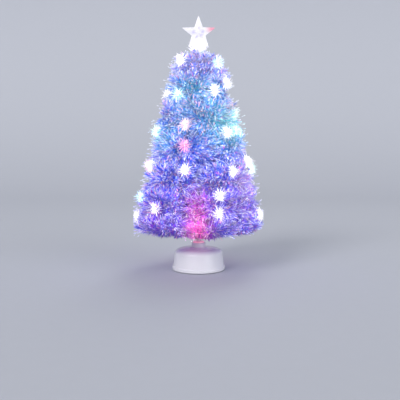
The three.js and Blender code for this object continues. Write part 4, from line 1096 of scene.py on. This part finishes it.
x_lines = np.unique([-27.6, 27.6, *(edge for opening in OPENINGS for edge in opening[:2])])
z_lines = np.unique([19.4, 44.6, *(edge for opening in OPENINGS for edge in opening[2:])])
panel = slab_with_openings(x_lines, z_lines, PANEL_BACK, PANEL_FRONT)
tray = tray_walls((27.4, 19.6, 44.4), (28.1, 18.9, 45.1), PANEL_BACK)
closed_piece("back_panel", pile([panel, tray]), "base", white_satin, (), False)

BOSS_RING = rounded([(2.45, 23.5), (5.0, 23.5), (5.0, 29.0), (2.45, 29.0), (2.45, 23.5)], 0.5, 3)
points, faces = turned(BOSS_RING, 32)
points = points[:, [0, 2, 1]] * [1, 1, -1] + UP * CLAMP_Z * MM
closed_piece("clamp_boss", (points, faces), "base", white_gloss, ())
print("panel and boss ready")

# %% [markdown]
# ## Trunk, ferrule, feet and knob
#
# These are turned parts, so each is a profile of radius and height that goes round its own axis. The knob's
# edge is scalloped for the fingers by letting its radius swing six times round.

# %% Turned pieces
FOOT_CIRCLE = 66
TRUNK_PROFILE = rounded([(7, 74), (8, 74), (8, 694), (7, 694), (7, 74)], 0.3, 2)
FERRULE_PROFILE = rounded([(8.35, 60.5), (14.0, 60.5), (14.0, 98.4), (20.0, 98.4), (20.0, 102.0), (8.35, 102.0),
                           (8.35, 60.5)], 0.7, 4)
FOOT_PROFILE = rounded([(0, 0), (8.3, 0), (9.0, 1.2), (8.2, 2.6), (8.6, 4.9), (0, 4.9)], 0.5, 4)


def evenly_lit(shape, colour, tint_share):
    """Attributes for a shape with one light all over; its base colour is that light times the share."""
    light = np.tile(colour, (len(shape[0]), 1))
    return lit(light * tint_share, light)


closed_piece("trunk_post", turned(TRUNK_PROFILE, 40), "tree", trunk_paint, ["trunk_tube"])
collar = turned(FERRULE_PROFILE, 64)
colours = evenly_lit(collar, [1.0, 0.22, 0.40], [0.8, 3.2, 1.8])
lit_white = lit_material("white plastic lit pink", 0.4, Coat_Weight=0.3)
closed_piece("trunk_collar", collar, "tree", lit_white, ["trunk_ferrule"], True, colours)
for number, angle in enumerate((-90, 30, 150)):
    centre = (FOOT_CIRCLE * math.cos(math.radians(angle)), FOOT_CIRCLE * math.sin(math.radians(angle)))
    foot = turned(FOOT_PROFILE, 40, centre)
    closed_piece(f"foot_{number + 1}", foot, "base", rubber, [f"rubber_foot_{number + 1}"])


def knob_shape(steps=72):
    """Radius (1 - 0.06 (1 - cos 6a) / 2) times the profile's, about the Y axis at the clamp's height."""
    profile = rounded([(0, 37.0), (5.6, 37.0), (7.0, 38.2), (7.0, 44.6), (5.8, 46.0), (2.6, 46.0), (2.2, 45.4),
                       (0, 45.4)], 0.7, 4)
    angle = round_angles(steps)
    swing = 1 - 0.06 * (1 - np.cos(6 * angle)) / 2
    x = profile[:, :1] * np.cos(angle) * swing
    z = profile[:, :1] * np.sin(angle) * swing
    y = np.broadcast_to(profile[:, 1:], x.shape)
    points = np.stack([x, y, CLAMP_Z + z], axis=-1).reshape(-1, 3) * MM
    return points, grid_faces(len(profile), steps)[:, ::-1]


closed_piece("clamp_grip", knob_shape(), "clamp_knob", black_plastic, ["clamp_knob"])
print("turned pieces ready")

# %% [markdown]
# ## Star
#
# The star is two clear mouldings, frosted inside, with a smaller raised star turned by half a point and a
# small lamp behind it. Its outline in polar form is r = a b sin B / (a sin p + b sin(B - p)) between a tip a
# and a waist b, an angle B apart. The height falls from the middle to the rim with r over the outline's r,
# and the raised star is the greater of two such heights.

# %% Star shells
STAR_Z, STAR_ANGLES, STAR_RINGS = 838.0, 240, 22
STAR_TIP, STAR_WAIST = 61.8, 25.4  # radii of the outline in millimetres
SMALL_TIP, SMALL_WAIST = 29.0, 12.0
STAR_WALL, STAR_SKIN, RIM_HEIGHT = 1.8, 1.6, 0.06  # wall at the edge and in front, and where the halves meet
BLEND = 2.2  # how sharply the small star stands out of the large one


def star_radius(angle, tip, waist, points=5, soft=0.010):
    """Distance to the star's edge in each direction; soft rounds the tips by that many radians."""
    step = np.pi / points
    p = np.abs((angle + step) % (2 * step) - step)
    p = np.sqrt(p**2 + soft**2)
    return tip * waist * np.sin(step) / (tip * np.sin(p) + waist * np.sin(np.maximum(step - p, 0)))


def star_height(radius, angle):
    """Height in front of the joint plane: a shallow pyramid, with a smaller star raised on it."""
    main = 2.0 + 8.8 * (1 - radius / star_radius(angle, STAR_TIP, STAR_WAIST))
    small = 2.0 + 11.6 * (1 - radius / star_radius(angle + np.pi / 5, SMALL_TIP, SMALL_WAIST))
    return np.logaddexp(main * BLEND, small * BLEND) / BLEND


def star_shell(front):
    """Outer skin, rim and inner skin of one half, as rings from the middle out and back in again."""
    angle = round_angles(STAR_ANGLES)
    edge = star_radius(angle, STAR_TIP, STAR_WAIST)
    share = np.linspace(0, 1, STAR_RINGS)[:, None]
    outer_r = share * edge
    outer_h = star_height(outer_r, angle)
    inner_r = share * (edge - STAR_WALL)
    inner_h = np.maximum(star_height(inner_r, angle) - STAR_SKIN, 0.4)
    radius = np.concatenate([outer_r, edge[None] + 0 * share[:1], inner_r[::-1]])
    height = np.concatenate([outer_h, np.full((1, STAR_ANGLES), RIM_HEIGHT), inner_h[::-1]])
    height[STAR_RINGS + 1] = RIM_HEIGHT
    way = -1 if front else 1
    points = np.stack([radius * np.sin(angle), way * height, STAR_Z + radius * np.cos(angle)], axis=-1)
    faces = grid_faces(len(radius), STAR_ANGLES)
    return points.reshape(-1, 3) * MM, faces if front else faces[:, ::-1]


def star_light(points):
    """Lamp light: white, lilac painted shade in a few soft spots round the middle, pink light on one arm's edge.
    """
    x, z = points[:, 0], points[:, 2] - STAR_Z * MM
    # painted shade: lilac in soft spots round the middle
    spots = np.array([[0, 16], [-17, 3], [14, 5], [9, -9], [-8, -12]]) * MM
    gap = np.hypot(x[:, None] - spots[:, 0], z[:, None] - spots[:, 1]).min(axis=1)
    white = np.tile([0.95, 0.94, 1.0], (len(points), 1))
    colour = toward(white, np.array([0.60, 0.56, 0.90]), 0.8 * bell(gap, 6 * MM))
    # painted light: pink on the edge of the upper right arm
    edge = np.clip((x - 22 * MM) / (22 * MM), 0, 1) * np.clip((z + 2 * MM) / (14 * MM), 0, 1)
    return toward(colour, np.array([1.0, 0.34, 0.48]), 0.9 * edge)


star_frost = lit_material("frosted star", 0.72, Coat_Weight=0.3)
for name, node, front in (("star_face", "star_front", True), ("star_rear", "star_back", False)):
    shell = star_shell(front)
    light = star_light(shell[0])
    colours = lit(light * [0.34, 0.34, 0.36], light)
    closed_piece(name, shell, "star", star_frost, [node], True, colours)

SLEEVE = rounded([(4.3, 776), (8.8, 776), (8.8, 777.7), (6.0, 785), (6.0, 825.2), (0, 825.2)], 0.6, 4)
SLEEVE = np.concatenate([SLEEVE, [(0, 823.5), (4.3, 823.5), (4.3, 776)]])
socket = turned(SLEEVE, 48)
colours = evenly_lit(socket, [0.96, 0.95, 1.0], 0.5)
closed_piece("star_socket", socket, "star", star_frost, ["star_sleeve"], True, colours)
print("star ready")

# %% [markdown]
# ## The pieces that keep their shape
#
# The rest of the mechanical model's pieces are right as they are, most of them inside the base. Each gets the
# finish of its own material: plated steel, ceramic, a coated glass reflector, tinted film, black plastic.

# %% Finishes for the other pieces
def glassy(name, colour, rough=(0.04, 0.12), **plain):
    """Clear plastic or glass: the surface group sets colour and roughness, the shader lets light through."""
    return finish(name, colour, 0.05, rough, 900, 0, plain={"Transmission Weight": 0.85, "IOR": 1.49, **plain})


def clothe(material, *nodes):
    """The finish goes into the material slots of the mechanical model's own objects."""
    for node in nodes:
        for place in bpy.data.objects[node].material_slots:
            place.material = material


HUBS = [f"branch_hub_{tier + 1}" for tier in range(TIER_COUNT)]
clothe(grey_plate, "base_plate")
clothe(steel, "lamp_chassis", "wheel_shaft", "clamp_shank", "wheel_motor")
clothe(ceramic, "lamp_socket")
mirror = finish("coated reflector", (0.8, 0.84, 0.92), 0.08, (0.05, 0.14), 700, 0.02, plain={"Metallic": 1.0})
clothe(mirror, "lamp_reflector")
clothe(glassy("quartz capsule", (0.97, 0.98, 1.0)), "lamp_capsule")
clothe(board_green, "control_board")
clothe(black_plastic, "power_inlet", "switch_bezel", "wheel_frame", "switch_rocker")
clothe(glassy("blue film", (0.05, 0.12, 0.9)), "filter_blue")
clothe(glassy("red film", (0.9, 0.03, 0.05)), "filter_red")
clothe(glassy("green film", (0.03, 0.7, 0.12)), "filter_green")
clothe(white_satin, *HUBS)
clothe(glassy("fibre bundle", (0.9, 0.93, 1.0), (0.15, 0.3)), "fibre_bundle")
clothe(glassy("star lamp lens", (1.0, 1.0, 1.0)), "star_lamp")
print("all pieces have their finish")

# %% [markdown]
# ## Stage and light
#
# A pale floor sweeps up into a backdrop. Two wide suns light the tree from the front left and right, and a
# third from above behind it. Area lamps would leave pools of light on the floor. The world adds a little light
# from all round, and where a ray of the camera, of gloss or of glass misses the floor it sees the floor's own
# far colour. All of it is kept low enough that white plastic stays below pure white.

# %% Floor and lamps
def sweep_floor(width=24.0, front=-12.0, back=6.5, height=5.5, bend=3.4):
    """A floor that turns up through a quarter circle into a wall: (x, y, z) along one profile."""
    s = np.linspace(0, 1, 17)
    curve = np.stack([back - bend + bend * np.sin(s * np.pi / 2), bend - bend * np.cos(s * np.pi / 2)], axis=-1)
    profile = np.concatenate([[[front, 0]], curve, [[back, height]]])
    sides = np.array([-width / 2, width / 2])
    y, z = (np.repeat(values[:, None], 2, axis=1) for values in profile.T)
    points = np.stack([np.broadcast_to(sides, y.shape), y, z], axis=-1)
    rows = np.arange(len(profile) - 1)[:, None] * 2
    return points.reshape(-1, 3), rows + np.array([0, 1, 3, 2])


floor_paint = finish("pale floor", (0.50, 0.52, 0.58), 0.02, (0.7, 0.8), 60, 0)
points, faces = sweep_floor()
mesh = bpy.data.meshes.new("floor")
mesh.from_pydata(points.tolist(), [], faces.tolist())
mesh.polygons.foreach_set("use_smooth", np.ones(len(faces), bool))
mesh.materials.append(floor_paint)
floor = bpy.data.objects.new("floor", mesh)
bpy.context.scene.collection.objects.link(floor)


def soft_sun(name, way, strength, spread, colour):
    """A lamp that shines from the direction way, with a disc so wide that its shadows are soft."""
    data = bpy.data.lights.new(name, "SUN")
    data.energy, data.angle, data.color = strength, math.radians(spread), colour
    lamp = bpy.data.objects.new(name, data)
    lamp.location = way
    lamp.rotation_euler = (math.acos(way[2] / math.dist((0, 0, 0), way)), 0, math.atan2(way[0], -way[1]))
    bpy.context.scene.collection.objects.link(lamp)


soft_sun("key", (-3.0, -4.2, 3.2), 1.45, 26, (1.0, 0.98, 0.96))
soft_sun("fill", (3.8, -3.4, 1.7), 0.9, 45, (0.96, 0.98, 1.0))
soft_sun("back", (1.0, 3.0, 4.2), 0.5, 30, (1.0, 1.0, 1.0))


def soft_world(light, strength, seen):
    """Light from all round in one colour, while the camera, gloss and glass see the colour of the far floor."""
    world = bpy.data.worlds.new("soft world")
    world.use_nodes = True
    tree = world.node_tree
    lighting = tree.nodes["Background"]
    lighting.inputs["Color"].default_value, lighting.inputs["Strength"].default_value = (*light, 1), strength
    backdrop = tree.nodes.new("ShaderNodeBackground")
    backdrop.inputs["Color"].default_value = (*seen, 1)
    ray = tree.nodes.new("ShaderNodeLightPath").outputs
    direct = math_node(tree, "MAXIMUM", ray["Is Camera Ray"], ray["Is Glossy Ray"])
    either = math_node(tree, "MAXIMUM", direct, ray["Is Transmission Ray"])
    mixed = tree.nodes.new("ShaderNodeMixShader")
    for start, end in ((either, 0), (lighting.outputs[0], 1), (backdrop.outputs[0], 2)):
        link(tree, start, mixed.inputs[end])
    link(tree, mixed.outputs[0], tree.nodes["World Output"].inputs["Surface"])
    return world


bpy.context.scene.world = soft_world((0.93, 0.95, 1.0), 0.45, (0.46, 0.48, 0.54))
bpy.context.scene.view_settings.view_transform = "Standard"
print("three suns and a low world")
